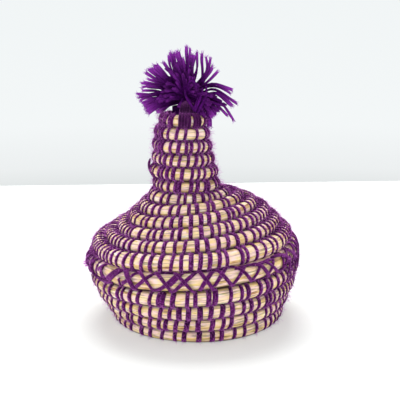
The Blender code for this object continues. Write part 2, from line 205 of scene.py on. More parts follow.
def seen_directly(tree):
    """A node that puts out 1 for camera, glossy and transmission rays, and 0 for light on its way."""
    path = add_node(tree, "LightPath")
    camera_or_glossy = add_node(tree, "Math", operation="MAXIMUM")
    or_through = add_node(tree, "Math", operation="MAXIMUM")
    join(
        tree,
        (path, "Is Camera Ray", camera_or_glossy, 0),
        (path, "Is Glossy Ray", camera_or_glossy, 1),
        (camera_or_glossy, 0, or_through, 0),
        (path, "Is Transmission Ray", or_through, 1),
    )
    return or_through


bpy.ops.object.select_all(action="DESELECT")
bpy.ops.mesh.primitive_plane_add(size=2 * TABLE_REACH)
table = bpy.context.object
table.name = "table_top"
bpy.ops.object.mode_set(mode="EDIT")
bpy.ops.mesh.select_all(action="SELECT")
wall_left = table_point(0, WALL_LINE_LEFT)
wall_right = table_point(PICTURE_SIZE, WALL_LINE_RIGHT)
wall_way = (wall_right - wall_left).normalized()
bpy.ops.mesh.bisect(plane_co=wall_left, plane_no=(-wall_way.y, wall_way.x, 0), clear_outer=True)
bpy.ops.object.mode_set(mode="OBJECT")
table_material, table_shader = new_material(
    "white_table", Base_Color=(*TABLE_COLOUR, 1), Roughness=0.7, Specular_IOR_Level=0.2
)
tree = table_material.node_tree
glow = add_node(tree, "Emission")
glow_share = add_node(tree, "Math", operation="MULTIPLY", in_1=TABLE_GLOW)
mix = add_node(tree, "MixShader")
join(
    tree,
    (seen_directly(tree), 0, glow_share, 0),
    (glow_share, 0, mix, 0),
    (table_shader, "BSDF", mix, 1),
    (glow, 0, mix, 2),
    (mix, 0, tree.nodes["Material Output"], "Surface"),
)
table.data.materials.append(table_material)
print("wall line from", wall_left, "to", wall_right)

# %% World and lamps
WORLD_LIGHT = 0.5
LAMP_AIM = Vector((0, 0, 0.07))
LAMPS = {
    "key_lamp": ((-0.05, 0.6, 1.15), 15.0, 0.8),
    "front_lamp": ((-0.2, -1.5, 0.5), 13.0, 1.5),
    "left_lamp": ((-1.2, 0.2, 0.6), 5.6, 1.2),
    "right_lamp": ((1.2, 0.2, 0.6), 4.6, 1.2),
}
# Colours of the pale wall, darkened towards the table line as a painted shade.
WALL_TONES_AND_SHADE = (
    (-0.226, (0.76, 0.79, 0.79)),
    (-0.205, (0.845, 0.87, 0.875)),
    (-0.16, (0.90, 0.93, 0.935)),
    (0.0, (0.88, 0.915, 0.92)),
)

world = bpy.data.worlds.new("pale_wall")
world.use_nodes = True
bpy.context.scene.world = world
tree = world.node_tree
tree.nodes.clear()
looking = add_node(tree, "TexCoord")
rise = add_node(tree, "SeparateXYZ")
rise_share = add_node(tree, "MapRange", From_Min=WALL_TONES_AND_SHADE[0][0], From_Max=WALL_TONES_AND_SHADE[-1][0])
wall_shade_ramp = ramp(
    tree, [((height - WALL_TONES_AND_SHADE[0][0]) / -WALL_TONES_AND_SHADE[0][0], colour) for height, colour in WALL_TONES_AND_SHADE]
)
seen = add_node(tree, "Background")
lit = add_node(tree, "Background", Color=(1, 1, 1, 1), Strength=WORLD_LIGHT)
mix = add_node(tree, "MixShader")
out = add_node(tree, "OutputWorld")
join(
    tree,
    (looking, "Generated", rise, 0),
    (rise, "Z", rise_share, "Value"),
    (rise_share, "Result", wall_shade_ramp, 0),
    (wall_shade_ramp, "Color", seen, "Color"),
    (seen_directly(tree), 0, mix, 0),
    (lit, 0, mix, 1),
    (seen, 0, mix, 2),
    (mix, 0, out, "Surface"),
)
for name, (place, power, size) in LAMPS.items():
    bpy.ops.object.light_add(type="AREA", location=place)
    lamp = bpy.context.object
    lamp.name = name
    lamp.data.energy = power
    lamp.data.size = size
    lamp.rotation_euler = (LAMP_AIM - Vector(place)).to_track_quat("-Z", "Y").to_euler()
bpy.context.scene.view_settings.view_transform = "Standard"

# %% [markdown]
# ## Straw
#
# A bundle holds some dozens of dry grass stems. Their colours differ: cream, gold, a pinkish tan, and a few
# brown ones. Fine lines run along each stem. The pattern has to follow the coil, so it reads the piece's own
# UV map, in which U counts millimetres along the bundle and V counts stems round it.

# %% Straw stems, as a node group
STEM_LENGTH = 46.0
FINE_LINE_SCALE = (0.06, 1.5, 1)
BLOTCH_SCALE = (0.08, 0.3, 1)
STEM_TONE_SHARE = 0.62
BLOTCH_SHARE = 1.2
BLOTCH_SHIFT = -0.42
STRAW_TONES = (
    (0.0, (0.44, 0.22, 0.10)),
    (0.12, (0.66, 0.42, 0.18)),
    (0.3, (0.80, 0.60, 0.25)),
    (0.48, (0.88, 0.64, 0.42)),
    (0.64, (0.92, 0.66, 0.62)),
    (0.82, (0.88, 0.70, 0.34)),
    (1.0, (0.98, 0.86, 0.76)),
)

stem_group, entry, leave = new_group(
    "stem_streaks",
    {"Along and Round": ("Vector", None), "Fine Lines": ("Float", 0.5)},
    {"Colour": "Color", "Height": "Float", "Dryness": "Float"},
)
split = add_node(stem_group, "SeparateXYZ")
stem_number = add_node(stem_group, "Math", operation="FLOOR")
stem_shift = add_node(stem_group, "TexWhiteNoise", noise_dimensions="1D")
along = add_node(stem_group, "Math", operation="DIVIDE", in_1=STEM_LENGTH)
shifted = add_node(stem_group, "Math", operation="ADD")
piece_number = add_node(stem_group, "Math", operation="FLOOR")
stem_place = add_node(stem_group, "CombineXYZ")
stem_tone = add_node(stem_group, "TexWhiteNoise", noise_dimensions="2D")
line_scale = add_node(stem_group, "VectorMath", operation="MULTIPLY", in_1=FINE_LINE_SCALE)
lines = add_node(stem_group, "TexNoise", noise_dimensions="2D", Scale=1.0, Detail=3.0, Roughness=0.6)
blotch_scale = add_node(stem_group, "VectorMath", operation="MULTIPLY", in_1=BLOTCH_SCALE)
blotches = add_node(stem_group, "TexNoise", noise_dimensions="2D", Scale=1.0, Detail=2.0)
tone_sum = add_node(stem_group, "Math", operation="MULTIPLY_ADD", in_1=STEM_TONE_SHARE)
blotch_part = add_node(stem_group, "Math", operation="MULTIPLY_ADD", in_1=BLOTCH_SHARE, in_2=BLOTCH_SHIFT)
tones = ramp(stem_group, STRAW_TONES)
line_shade = add_node(stem_group, "MapRange", From_Min=0.35, From_Max=0.5, To_Min=0.45, To_Max=1.06)
shaded = add_node(stem_group, "VectorMath", operation="SCALE")
line_height = add_node(stem_group, "Math", operation="MULTIPLY")
dryness = add_node(stem_group, "MapRange", From_Min=0.3, From_Max=0.7, To_Min=0.42, To_Max=0.68)
join(
    stem_group,
    (entry, "Along and Round", split, 0),
    (split, "Y", stem_number, 0),
    (stem_number, 0, stem_shift, "W"),
    (split, "X", along, 0),
    (along, 0, shifted, 0),
    (stem_shift, "Value", shifted, 1),
    (shifted, 0, piece_number, 0),
    (piece_number, 0, stem_place, "X"),
    (stem_number, 0, stem_place, "Y"),
    (stem_place, 0, stem_tone, "Vector"),
    (entry, "Along and Round", line_scale, 0),
    (line_scale, 0, lines, "Vector"),
    (entry, "Along and Round", blotch_scale, 0),
    (blotch_scale, 0, blotches, "Vector"),
    (blotches, "Fac", blotch_part, 0),
    (stem_tone, "Value", tone_sum, 0),
    (blotch_part, 0, tone_sum, 2),
    (tone_sum, 0, tones, 0),
    (lines, "Fac", line_shade, "Value"),
    (tones, "Color", shaded, 0),
    (line_shade, "Result", shaded, "Scale"),
    (shaded, 0, leave, "Colour"),
    (lines, "Fac", line_height, 0),
    (entry, "Fine Lines", line_height, 1),
    (line_height, 0, leave, "Height"),
    (lines, "Fac", dryness, "Value"),
    (dryness, "Result", leave, "Dryness"),
)
print("stem_streaks has", len(stem_group.nodes), "nodes")

# %% Straw material
# Near-black of the painted shade between turns, where the lid sits, and along the foot.
PAINTED_SHADE_STRAW = (0.016, 0.004, 0.012)

straw_material, shader = new_material("dry_straw", Specular_IOR_Level=0.35)
tree = straw_material.node_tree
place_uv = add_node(tree, "UVMap", uv_map="UVMap")
stems = add_node(tree, "Group")
stems.node_tree = stem_group
stems.inputs["Fine Lines"].default_value = 0.6
seam_share = add_node(tree, "Attribute", attribute_name="painted_shade")
painted_shade_mix = add_node(tree, "Mix", data_type="RGBA")
painted_shade_mix.inputs[MIX_SOCKETS["B"]].default_value = (*PAINTED_SHADE_STRAW, 1)
bump = add_node(tree, "Bump", Strength=0.6, Distance=0.0004)
join(
    tree,
    (place_uv, "UV", stems, "Along and Round"),
    (seam_share, "Fac", painted_shade_mix, "Factor"),
    (stems, "Colour", painted_shade_mix, "A"),
    (painted_shade_mix, "Result", shader, "Base Color"),
    (stems, "Dryness", shader, "Roughness"),
    (stems, "Height", bump, "Height"),
    (bump, "Normal", shader, "Normal"),
)
print("straw material made")

# %% [markdown]
# ## Wool
#
# The yarn is spun from soft fibres and twisted from plies, so it shows slanting ridges, and loose fibres
# catch the light round its edges. The ridges come from the UV map, in which U counts millimetres along the
# yarn and V goes once round it. The sheen of the shader stands for the finest fuzz. Cut ends of the tassel
# are paler, and the piece's own attribute called tip says how near an end is.

# %% Wool plies, as a node group
PLY_TURN_LENGTH = 3.4
RIDGE_SHARE = 0.25
FIBRE_SCALE = (0.5, 7, 0)
PLACE_SCALE = (220, 220, 220)
FIBRE_HEIGHT = 1.6
PLY_GROOVE_SHADE = 0.2

wool_group, entry, leave = new_group(
    "wool_plies",
    {
        "Along and Round": ("Vector", None),
        "Place": ("Vector", None),
        "Tip": ("Float", 0.0),
        "Dark": ("Color", (0.045, 0.005, 0.085, 1)),
        "Light": ("Color", (0.16, 0.024, 0.30, 1)),
        "Tip Colour": ("Color", (0.36, 0.10, 0.55, 1)),
    },
    {"Colour": "Color", "Height": "Float"},
)
split = add_node(wool_group, "SeparateXYZ")
turns = add_node(wool_group, "Math", operation="MULTIPLY_ADD", in_1=1 / PLY_TURN_LENGTH)
ridge = add_node(wool_group, "Math", operation="PINGPONG", in_1=RIDGE_SHARE)
ridge_height = add_node(wool_group, "MapRange", From_Min=0.0, From_Max=RIDGE_SHARE, To_Min=0.0, To_Max=1.0)
fibre_place = add_node(wool_group, "VectorMath", operation="MULTIPLY", in_1=FIBRE_SCALE)
fibre_shift = add_node(wool_group, "VectorMath", operation="MULTIPLY_ADD", in_1=PLACE_SCALE)
fibre = add_node(wool_group, "TexNoise", Scale=1.0, Detail=3.0, Roughness=0.65)
patches = add_node(wool_group, "TexNoise", Scale=190.0, Detail=1.0)
height = add_node(wool_group, "Math", operation="MULTIPLY_ADD", in_1=FIBRE_HEIGHT)
# Painted shade: ply ridges lighter and grooves darker, added to random patches and streaks of real tone.
shade = add_node(wool_group, "Math", operation="MULTIPLY_ADD", in_1=PLY_GROOVE_SHADE)
streak_part = add_node(wool_group, "MapRange", From_Min=0.35, From_Max=0.65, To_Min=-0.3, To_Max=0.8)
patch_part = add_node(wool_group, "MapRange", From_Min=0.3, From_Max=0.7, To_Min=-0.1, To_Max=0.4)
both_parts = add_node(wool_group, "Math", operation="ADD")
tone = add_node(wool_group, "Mix", data_type="RGBA")
tipped = add_node(wool_group, "Mix", data_type="RGBA")
join(
    wool_group,
    (entry, "Along and Round", split, 0),
    (split, "X", turns, 0),
    (split, "Y", turns, 2),
    (turns, 0, ridge, 0),
    (ridge, 0, ridge_height, "Value"),
    (entry, "Along and Round", fibre_place, 0),
    (entry, "Place", fibre_shift, 0),
    (fibre_place, 0, fibre_shift, 2),
    (fibre_shift, 0, fibre, "Vector"),
    (entry, "Place", patches, "Vector"),
    (fibre, "Fac", height, 0),
    (ridge_height, "Result", height, 2),
    (height, 0, leave, "Height"),
    (ridge_height, "Result", shade, 0),
    (patches, "Fac", patch_part, "Value"),
    (fibre, "Fac", streak_part, "Value"),
    (patch_part, "Result", both_parts, 0),
    (streak_part, "Result", both_parts, 1),
    (both_parts, 0, shade, 2),
    (shade, 0, tone, "Factor"),
    (entry, "Dark", tone, "A"),
    (entry, "Light", tone, "B"),
    (entry, "Tip", tipped, "Factor"),
    (tone, "Result", tipped, "A"),
    (entry, "Tip Colour", tipped, "B"),
    (tipped, "Result", leave, "Colour"),
)
print("wool_plies has", len(wool_group.nodes), "nodes")


# %% Wool material
SHEEN_TINT = (0.62, 0.16, 0.66, 1)
# Near-black of the painted shade on yarn in seams, under the lid's rim and in the tassel's core.
PAINTED_SHADE_WOOL = (0.012, 0.001, 0.016, 1)


def wool(name, dark, light, tip, sheen, gloss):
    """A wool material in the given colours. Painted shade darkens it where its shade attribute is 1."""
    material, shader = new_material(
        name, Roughness=0.95, Specular_IOR_Level=gloss, Sheen_Weight=sheen, Sheen_Roughness=0.35,
        Sheen_Tint=SHEEN_TINT,
    )
    tree = material.node_tree
    place_uv = add_node(tree, "UVMap", uv_map="UVMap")
    coordinates = add_node(tree, "TexCoord")
    tip_share = add_node(tree, "Attribute", attribute_name="tip")
    seam_share = add_node(tree, "Attribute", attribute_name="painted_shade")
    painted_shade_mix = add_node(tree, "Mix", data_type="RGBA")
    painted_shade_mix.inputs[MIX_SOCKETS["B"]].default_value = PAINTED_SHADE_WOOL
    plies = add_node(tree, "Group")
    plies.node_tree = wool_group
    plies.inputs["Dark"].default_value = (*dark, 1)
    plies.inputs["Light"].default_value = (*light, 1)
    plies.inputs["Tip Colour"].default_value = (*tip, 1)
    bump = add_node(tree, "Bump", Strength=0.7, Distance=0.0005)
    join(
        tree,
        (place_uv, "UV", plies, "Along and Round"),
        (coordinates, "Object", plies, "Place"),
        (tip_share, "Fac", plies, "Tip"),
        (seam_share, "Fac", painted_shade_mix, "Factor"),
        (plies, "Colour", painted_shade_mix, "A"),
        (painted_shade_mix, "Result", shader, "Base Color"),
        (plies, "Height", bump, "Height"),
        (bump, "Normal", shader, "Normal"),
    )
    return material


purple_wool = wool(
    "purple_wool", dark=(0.034, 0.0028, 0.040), light=(0.138, 0.0105, 0.150), tip=(0.38, 0.09, 0.42),
    sheen=0.85, gloss=0.12,
)
tassel_wool = wool(
    "tassel_wool", dark=(0.012, 0.0008, 0.030), light=(0.098, 0.0035, 0.175), tip=(0.38, 0.055, 0.52),
    sheen=0.02, gloss=0.01,
)
loose_fibre, _ = new_material("loose_fibre", Base_Color=(0.64, 0.17, 0.66, 1), Roughness=0.9)
tassel_ends, _ = new_material("tassel_ends", Base_Color=(0.38, 0.06, 0.52, 1), Roughness=0.9)
print("wool materials made")

# %% [markdown]
# ## The path of the coil
#
# The solids were built from a few formulas, and the same formulas are repeated here, so that the straw and
# its stitches lie exactly where the solids do. A turn lies level across the front and passes to the next
# turn round the back. Sizes are in metres and angles in degrees.

# %% Sizes of the coils
HEART_STRAW = 0.0026
WALL_STRAW = 0.00485
RIM_STRAW = 0.0056
LID_RIM_STRAW = 0.0054
SHOULDER_STRAW = 0.00448
NECK_STRAW = 0.0039
TIP_STRAW = 0.0010
YARN_BETWEEN_TURNS = 0.0007
SEAT_GAP = 0.0003
BASE_RADIUS = 0.0523
FLOOR_TURNS = 4
WALL_ANGLES = (67.0, 63.0, 72.0, 91.5)
WALL_LEAN = 5.6
WALL_SWELL_SHARE = 0.085
FOOT_CUT_SHARE = 0.2
LID_INSET = 0.0029
NECK_FOOT_RADIUS = 0.0211
SHOULDER_ANGLES = (136.7, 142.5, 143.8, 147.4, 151.6)
SHOULDER_LEANS = (-8.0, -9.7, 1.9, 8.8, 13.7)
NECK_ANGLES = (114.3, 89.5, 101.3, 95.8, 99.5, 107.5)
NECK_LEANS = (5.6, 3.4, 1.7, 1.0, -2.7, -7.5)
TUBE_FLAT_SHARE = math.cos(math.pi / 6)
FLAT_SHARE = 1.0 / 3.0
EASE_SHARE = 0.2
ALMOST_ONE = 1 - 1e-7
FRONT_ANGLE = -math.pi / 2
CENTRING = Vector((0.00179, 0.000154, 0))


def lerp(low, high, share):
    return low + (high - low) * share


def pitch(straw, next_straw):
    """From the middle of one turn to the middle of the turn that lies against it."""
    return straw + next_straw + YARN_BETWEEN_TURNS


def stack_turns(start, straws, slopes, share):
    """(radius, height, straw) of turns that lie against each other, each passed on by a share."""
    if share > 0:
        first = pitch(straws[0], straws[1]) * share
        start = (start[0] + first * math.cos(slopes[0]), start[1] + first * math.sin(slopes[0]))
        straws = [lerp(near, far, share) for near, far in zip(straws, straws[1:])]
        slopes = [lerp(near, far, share) for near, far in zip(slopes, slopes[1:])]
    rings = [(*start, straws[0])]
    for straw, slope in zip(straws[1:], slopes):
        radius, height, last = rings[-1]
        reach = pitch(last, straw)
        rings.append((radius + reach * math.cos(slope), height + reach * math.sin(slope), straw))
    return rings


# %% Turns of the bowl
def bowl_rings(angle, share=0.0):
    """The bowl's turns at one angle round it, heart to rim."""
    swollen = WALL_STRAW * (1 + WALL_SWELL_SHARE * math.cos(angle))
    straws = [HEART_STRAW] + [WALL_STRAW] * FLOOR_TURNS + [swollen] * len(WALL_ANGLES) + [RIM_STRAW]
    seated = 1 - FOOT_CUT_SHARE
    radius = BASE_RADIUS
    slopes = [math.radians(degrees + WALL_LEAN * math.cos(angle)) for degrees in WALL_ANGLES]
    for inner, outer in reversed(list(zip(straws, straws[1:FLOOR_TURNS + 2]))):
        reach = pitch(inner, outer)
        slopes.insert(0, math.asin((outer - inner) * seated / reach))
        radius -= reach * math.cos(slopes[0])
    return stack_turns((radius, HEART_STRAW * seated), straws, slopes, share)


RIM_RIGHT = bowl_rings(0.0)[-1]
RIM_LEFT = bowl_rings(math.pi)[-1]
RIM_RADIUS = math.hypot(RIM_RIGHT[0] + RIM_LEFT[0], RIM_RIGHT[1] - RIM_LEFT[1]) / 2
RIM_HEIGHT = (RIM_RIGHT[1] + RIM_LEFT[1]) / 2
RIM_TILT = math.atan2(RIM_RIGHT[1] - RIM_LEFT[1], RIM_RIGHT[0] + RIM_LEFT[0])
BOWL_PLACE = Matrix.Translation(CENTRING + Vector(((RIM_LEFT[0] - RIM_RIGHT[0]) / 2, 0, 0)))
LID_PLACE = Matrix.Translation(CENTRING + Vector((0, 0, RIM_HEIGHT))) @ Matrix.Rotation(-RIM_TILT, 4, "Y")
print("rim radius", RIM_RADIUS, "height", RIM_HEIGHT, "tilt", math.degrees(RIM_TILT))

# %% Turns of the lid
SHOULDER_TURNS = len(SHOULDER_ANGLES)
NECK_TURNS = len(NECK_ANGLES)
LID_STRAWS = [LID_RIM_STRAW] + [SHOULDER_STRAW] * SHOULDER_TURNS
DRAWN_RUN = -sum(
    pitch(near, far) * math.cos(math.radians(slope))
    for near, far, slope in zip(LID_STRAWS, LID_STRAWS[1:], SHOULDER_ANGLES)
)
SHOULDER_STRETCH = (RIM_RADIUS - LID_INSET - NECK_FOOT_RADIUS) / DRAWN_RUN


def lid_rings(angle, share=0.0):
    """The lid's turns at one angle round it, crown to rim, above the plane of the bowl's rim."""
    start = (RIM_RADIUS - LID_INSET, (RIM_STRAW + LID_RIM_STRAW) * TUBE_FLAT_SHARE + SEAT_GAP)
    straws = LID_STRAWS + [NECK_STRAW] * NECK_TURNS
    slopes = []
    for degrees, lean in zip(SHOULDER_ANGLES, SHOULDER_LEANS):
        stretched = math.acos(max(-1.0, math.cos(math.radians(degrees)) * SHOULDER_STRETCH))
        slopes.append(stretched + math.radians(lean) * math.cos(angle))
    for degrees, lean in zip(NECK_ANGLES, NECK_LEANS):
        slopes.append(math.radians(degrees + lean * math.cos(angle)))
    risen = 1 - share if share > 0 else 0.0
    return stack_turns(start, straws, slopes, risen)[::-1]


# %% Place on a coil
def around(radius, angle, height=0.0):
    """The point at this radius, angle and height, round the upright axis."""
    return Vector((radius * math.cos(angle), radius * math.sin(angle), height))


def turn_angle(turn):
    return FRONT_ANGLE + math.tau * (turn - FLAT_SHARE / 2)


def climb_share(turn):
    """How far the bundle has passed to its next turn: level at the front, then an even climb."""
    part = max(0.0, (turn % 1.0 - FLAT_SHARE) / (1 - FLAT_SHARE))
    near = min(part, 1 - part)
    if near < EASE_SHARE:
        eased = near * near / (2 * EASE_SHARE * (1 - EASE_SHARE))
    else:
        eased = (near - EASE_SHARE / 2) / (1 - EASE_SHARE)
    return eased if part <= 0.5 else min(1 - eased, ALMOST_ONE)


def tucked_ring(kept, beside, passing):
    """A thinned end that shares the room of one turn with the bundle that is passing into it."""
    apart = math.hypot(kept[0] - beside[0], kept[1] - beside[1])
    out = ((kept[0] - beside[0]) / apart, (kept[1] - beside[1]) / apart)
    passed = (kept[0] - passing[0]) * out[0] + (kept[1] - passing[1]) * out[1]
    straw = (passed + kept[2] - passing[2] - YARN_BETWEEN_TURNS) / 2
    push = kept[2] - straw
    return kept[0] + out[0] * push, kept[1] + out[1] * push, straw


def coil_ring(rings_at, turn):
    """(radius, height, straw) of a coil after this many turns."""
    settled = rings_at(turn_angle(turn))
    rings = rings_at(turn_angle(turn), climb_share(turn))
    level = math.floor(turn)
    if level < 0:
        return tucked_ring(settled[0], settled[1], rings[0])
    if level < len(rings):
        return rings[level]
    return tucked_ring(settled[-1], settled[-2], rings[-1])


# %% [markdown]
# ## Walking along a path
#
# Straw, stitches and yarn all follow a path. A run is that path cut into equal short steps, with three
# directions at each step: ahead along the path, out sideways and up. A section drawn with out and up is
# then square to the path everywhere. A curve with a bevel could make such tubes too, but its section is the
# same all along, and here every stitch changes it.

# %% Distances along a path
NO_LENGTH = 1e-12


def along_way(points):
    """Distance along the points from the first one."""
    steps = np.linalg.norm(np.diff(points, axis=0), axis=1)
    return np.concatenate([[0.0], np.cumsum(steps)])


def unit(vectors):
    return vectors / np.maximum(np.linalg.norm(vectors, axis=-1, keepdims=True), NO_LENGTH)


def points_at(at, way, points):
    """The points at these distances of a path whose points lie at the distances in way."""
    return np.stack([np.interp(at, way, points[:, axis]) for axis in range(3)], axis=1)


# %% Runs
COIL_SAMPLES = 240


def run_of(points, step, extras):
    """The points walked in equal steps: places, ahead, out, up, distance, and extras alike."""
    points = np.asarray(points, float)
    way = along_way(points)
    at = np.linspace(0, way[-1], max(2, int(round(way[-1] / step)) + 1))
    places = points_at(at, way, points)
    ahead = unit(np.gradient(places, axis=0))
    up = unit(np.array([0.0, 0.0, 1.0]) - ahead * ahead[:, 2:3])
    out = np.cross(ahead, up)
    found = {"places": places, "ahead": ahead, "out": out, "up": up, "at": at}
    for name, values in extras:
        found[name] = np.interp(at, way, np.asarray(values, float))
    return found


def coil_run(rings_at, first_turn, last_turn, place, step):
    """A stretch of a coil as a run, with the turn and the straw radius at each step."""
    turns = np.linspace(first_turn, last_turn, int((last_turn - first_turn) * COIL_SAMPLES) + 1)
    rings = [coil_ring(rings_at, turn) for turn in turns]
    kept = [index for index, ring in enumerate(rings) if ring[2] > TIP_STRAW]
    points = []
    for index in kept:
        radius, height, _ = rings[index]
        angle = turn_angle(turns[index])
        points.append(place @ around(radius, angle, height))
    extras = (("turn", turns[kept]), ("straw", [rings[index][2] for index in kept]))
    return run_of(points, step, extras)


# %% Stretches of the coils
STRAW_STEP = 0.00115
CAD_STEP = 1 / 24
BOWL_RIM_TURN = FLOOR_TURNS + len(WALL_ANGLES) + 1
LID_RIM_TURN = NECK_TURNS + SHOULDER_TURNS
FLOOR_END = FLOOR_TURNS + 2 / 3 + CAD_STEP / 2
WALL_END = BOWL_RIM_TURN - 1 / 3 + CAD_STEP / 2
NECK_END = NECK_TURNS - 1 / 3 + CAD_STEP / 2
SHOULDER_END = LID_RIM_TURN - 1 / 3 + CAD_STEP / 2
STRETCHES = {
    "bowl_floor_coil": (bowl_rings, 0.0, FLOOR_END, BOWL_PLACE, "bowl"),
    "bowl_wall_coil": (bowl_rings, FLOOR_END, WALL_END, BOWL_PLACE, "bowl"),
    "bowl_rim_coil": (bowl_rings, WALL_END, BOWL_RIM_TURN + 1.0, BOWL_PLACE, "bowl"),
    "lid_neck_coil": (lid_rings, FLAT_SHARE - 1, NECK_END, LID_PLACE, "lid"),
    "lid_shoulder_coil": (lid_rings, NECK_END, SHOULDER_END, LID_PLACE, "lid"),
    "lid_rim_coil": (lid_rings, SHOULDER_END, LID_RIM_TURN + 1.0, LID_PLACE, "lid"),
}
runs = {name: coil_run(*stretch[:4], STRAW_STEP) for name, stretch in STRETCHES.items()}
for name, run in runs.items():
    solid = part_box(name)
    print(name, "is", round(run["at"][-1], 3), "m long; solid from", solid[0], "to", solid[1])

# %% [markdown]
# ## Where the stitches go
#
# The stitches are sewn by eye, so their spacing varies, and each lies close to one of the turn before. On the
# side that the photograph shows, they were read off turn by turn, as pixels across the picture. Round the
# back they go on at the spacing that was counted for the turn. The bowl's thick rim has none where it lies
# level, because crosses bind it.

# %% Stitches seen in the photograph
LID_SEEN = {
    0: (163.4, 164.8, 169.4, 171.3, 205),
    1: (154.5, 156.8, 159, 161.5, 167.5, 176.5, 185.5, 197.5, 206.5, 210),
    2: (154, 158.8, 161.8, 170, 178.3, 186.5, 191.6, 199.2, 204, 209, 212),
    3: (155.5, 159.8, 164.3, 171, 179.2, 188.3, 196.2, 203, 208.5, 212),
    4: (153, 158.3, 161.6, 166.6, 172.8, 181.8, 192.3, 199, 205, 212, 217),
    5: (155, 161.5, 168, 175.3, 179, 191, 197.5, 205.5, 208.8, 216),
    6: (148.5, 153.5, 160.7, 167.7, 178, 184.8, 194.2, 203.4, 210, 215.5, 221, 225.5),
    7: (146, 151.9, 158.8, 169.4, 177.6, 188.6, 197.1, 208, 213.5, 224, 229, 236),
    8: (
        135, 140.8, 145.8, 153.6, 161.9, 170.8, 180.1, 190.8, 201, 208.9, 218.5, 229, 233.6, 239.2, 244.6,
        250,
    ),
    9: (
        121, 124, 127, 130, 138.6, 147.2, 153.6, 160.8, 171.5, 179, 190.4, 201.4, 212.1, 219.2, 227, 232.8,
        240.6, 246.7, 252.4, 256.5,
    ),
    10: (
        112.6, 115.5, 118.8, 123.6, 129, 139, 145.4, 152.9, 163.3, 174.4, 184, 197.1, 207.4, 218.5, 228.1,
        237.8, 246, 254.2, 260, 265.3, 269,
    ),
    11: (
        101, 104, 107, 111, 116.1, 123.3, 131.5, 140.8, 149.7, 159.7, 170.8, 180.8, 190.8, 200.1, 209.8,
        219.4, 227.3, 242.6, 247.8, 257, 265.5, 272.5, 276.5, 281.5,
    ),
}
BOWL_SEEN = {
    5: (141.7, 150.3, 162, 174.7, 184, 199, 212.4, 221.6, 234.5, 244.5, 256.3, 265),
    6: (
        121, 128, 132, 140, 149.7, 158.7, 165.3, 175.7, 186.7, 198, 212.4, 223.4, 231.3, 245.6, 254.9,
        265.6, 270.2,
    ),
    7: (
        118, 123.7, 130.7, 139.7, 149.7, 160, 169.3, 178.7, 188.3, 200, 210.9, 222.4, 232.4, 243.8, 251.3,
        258.8, 266.3, 270, 274.1,
    ),
    8: (
        104.7, 109.7, 117.3, 121.7, 129.3, 137.3, 149.3, 158, 162, 172.3, 187, 195.2, 208.8, 215.2, 230.9,
        242, 248.4, 260.6, 267.4, 271.3, 277.7,
    ),
}

# %% Pixels and turns
FRONT_TURNS = (-0.12, 0.45)
camera_turn = np.array(camera.matrix_world.to_3x3())


def pixels_of(points):
    """How far across and down the picture points show, in pixels."""
    seen_from = (points - np.array(CAMERA_PLACE)) @ camera_turn
    share = seen_from[..., :2] / -seen_from[..., 2:] * PICTURE_SIZE * LENS_LENGTH / SENSOR_WIDTH
    return PICTURE_SIZE / 2 + share * (1, -1)


def seen_places(run, level, pixels):
    """Distances along a run at which the front of one turn shows at these pixels."""
    near = np.flatnonzero((run["turn"] > level + FRONT_TURNS[0]) & (run["turn"] < level + FRONT_TURNS[1]))
    if len(near) < 3:
        return []
    middle = run["places"][near]
    ahead = run["ahead"][near]
    towards = np.array(CAMERA_PLACE) - middle
    towards = unit(towards - ahead * (towards * ahead).sum(axis=1, keepdims=True))
    across = pixels_of(middle + towards * run["straw"][near][:, None])[:, 0]
    first, last = int(np.argmin(across)), int(np.argmax(across))
    inside = [pixel for pixel in pixels if across[first] < pixel < across[last]]
    return list(np.interp(inside, across[first:last + 1], run["at"][near][first:last + 1]))


# %% Stitches of one run
SPACING_JITTER = 0.15
LEAST_GAP = 0.6
BACK_CLOSENESS = 0.95
CHANCE_SEED = 11
chance = np.random.default_rng(CHANCE_SEED)


def stitch_spacing(run, counts, sides, at):
    """The spacing that the turn there has, or 0. sides: how much closer it is at the right and the left."""
    turn = np.interp(at, run["at"], run["turn"])
    level = int(np.clip(turn, 0, len(counts) - 1))
    if counts[level] == 0:
        return 0.0
    aside = math.cos(turn_angle(turn))
    closeness = BACK_CLOSENESS - (sides[0] if aside > 0 else sides[1]) * aside * aside
    return np.interp(at, run["at"], np.gradient(run["at"], run["turn"])) / counts[level] * closeness


def evenly(run, counts, sides, start, end):
    """Places between two places, at the spacing of the turn."""
    found = []
    at = start
    while True:
        spacing = stitch_spacing(run, counts, sides, at)
        at += spacing * chance.uniform(1 - SPACING_JITTER, 1 + SPACING_JITTER)
        if spacing == 0 or at > end - spacing * LEAST_GAP:
            return found
        found.append(at)


def stitch_places(run, counts, rows, sides):
    """All stitches of one run: the ones seen, and an even spacing wherever none was read off."""
    found = []
    at = -0.5 * stitch_spacing(run, counts, sides, 0.0)
    end = run["at"][-1] + 0.5 * stitch_spacing(run, counts, sides, run["at"][-1])
    for level in range(-1, len(counts) + 1):
        row = seen_places(run, level, rows.get(level, ()))
        if row:
            found += evenly(run, counts, sides, at, row[0]) + row
            at = row[-1]
    return np.array(found + evenly(run, counts, sides, at, end))


# %% Stitch places
BOWL_STITCHES = (9, 18, 28, 37, 46, 52, 58, 63, 66, 0)
LID_STITCHES = (23, 23, 24, 23, 24, 24, 27, 35, 42, 52, 60, 66, 60)
SIDE_CLOSENESS = {"bowl": (0.08, -0.04), "lid": (0.08, 0.18)}

stitches = {}
for name, run in runs.items():
    body = STRETCHES[name][4]
    counts, rows = (BOWL_STITCHES, BOWL_SEEN) if body == "bowl" else (LID_STITCHES, LID_SEEN)
    stitches[name] = stitch_places(run, counts, rows, SIDE_CLOSENESS[body])
    print(name, "has", len(stitches[name]), "stitches")

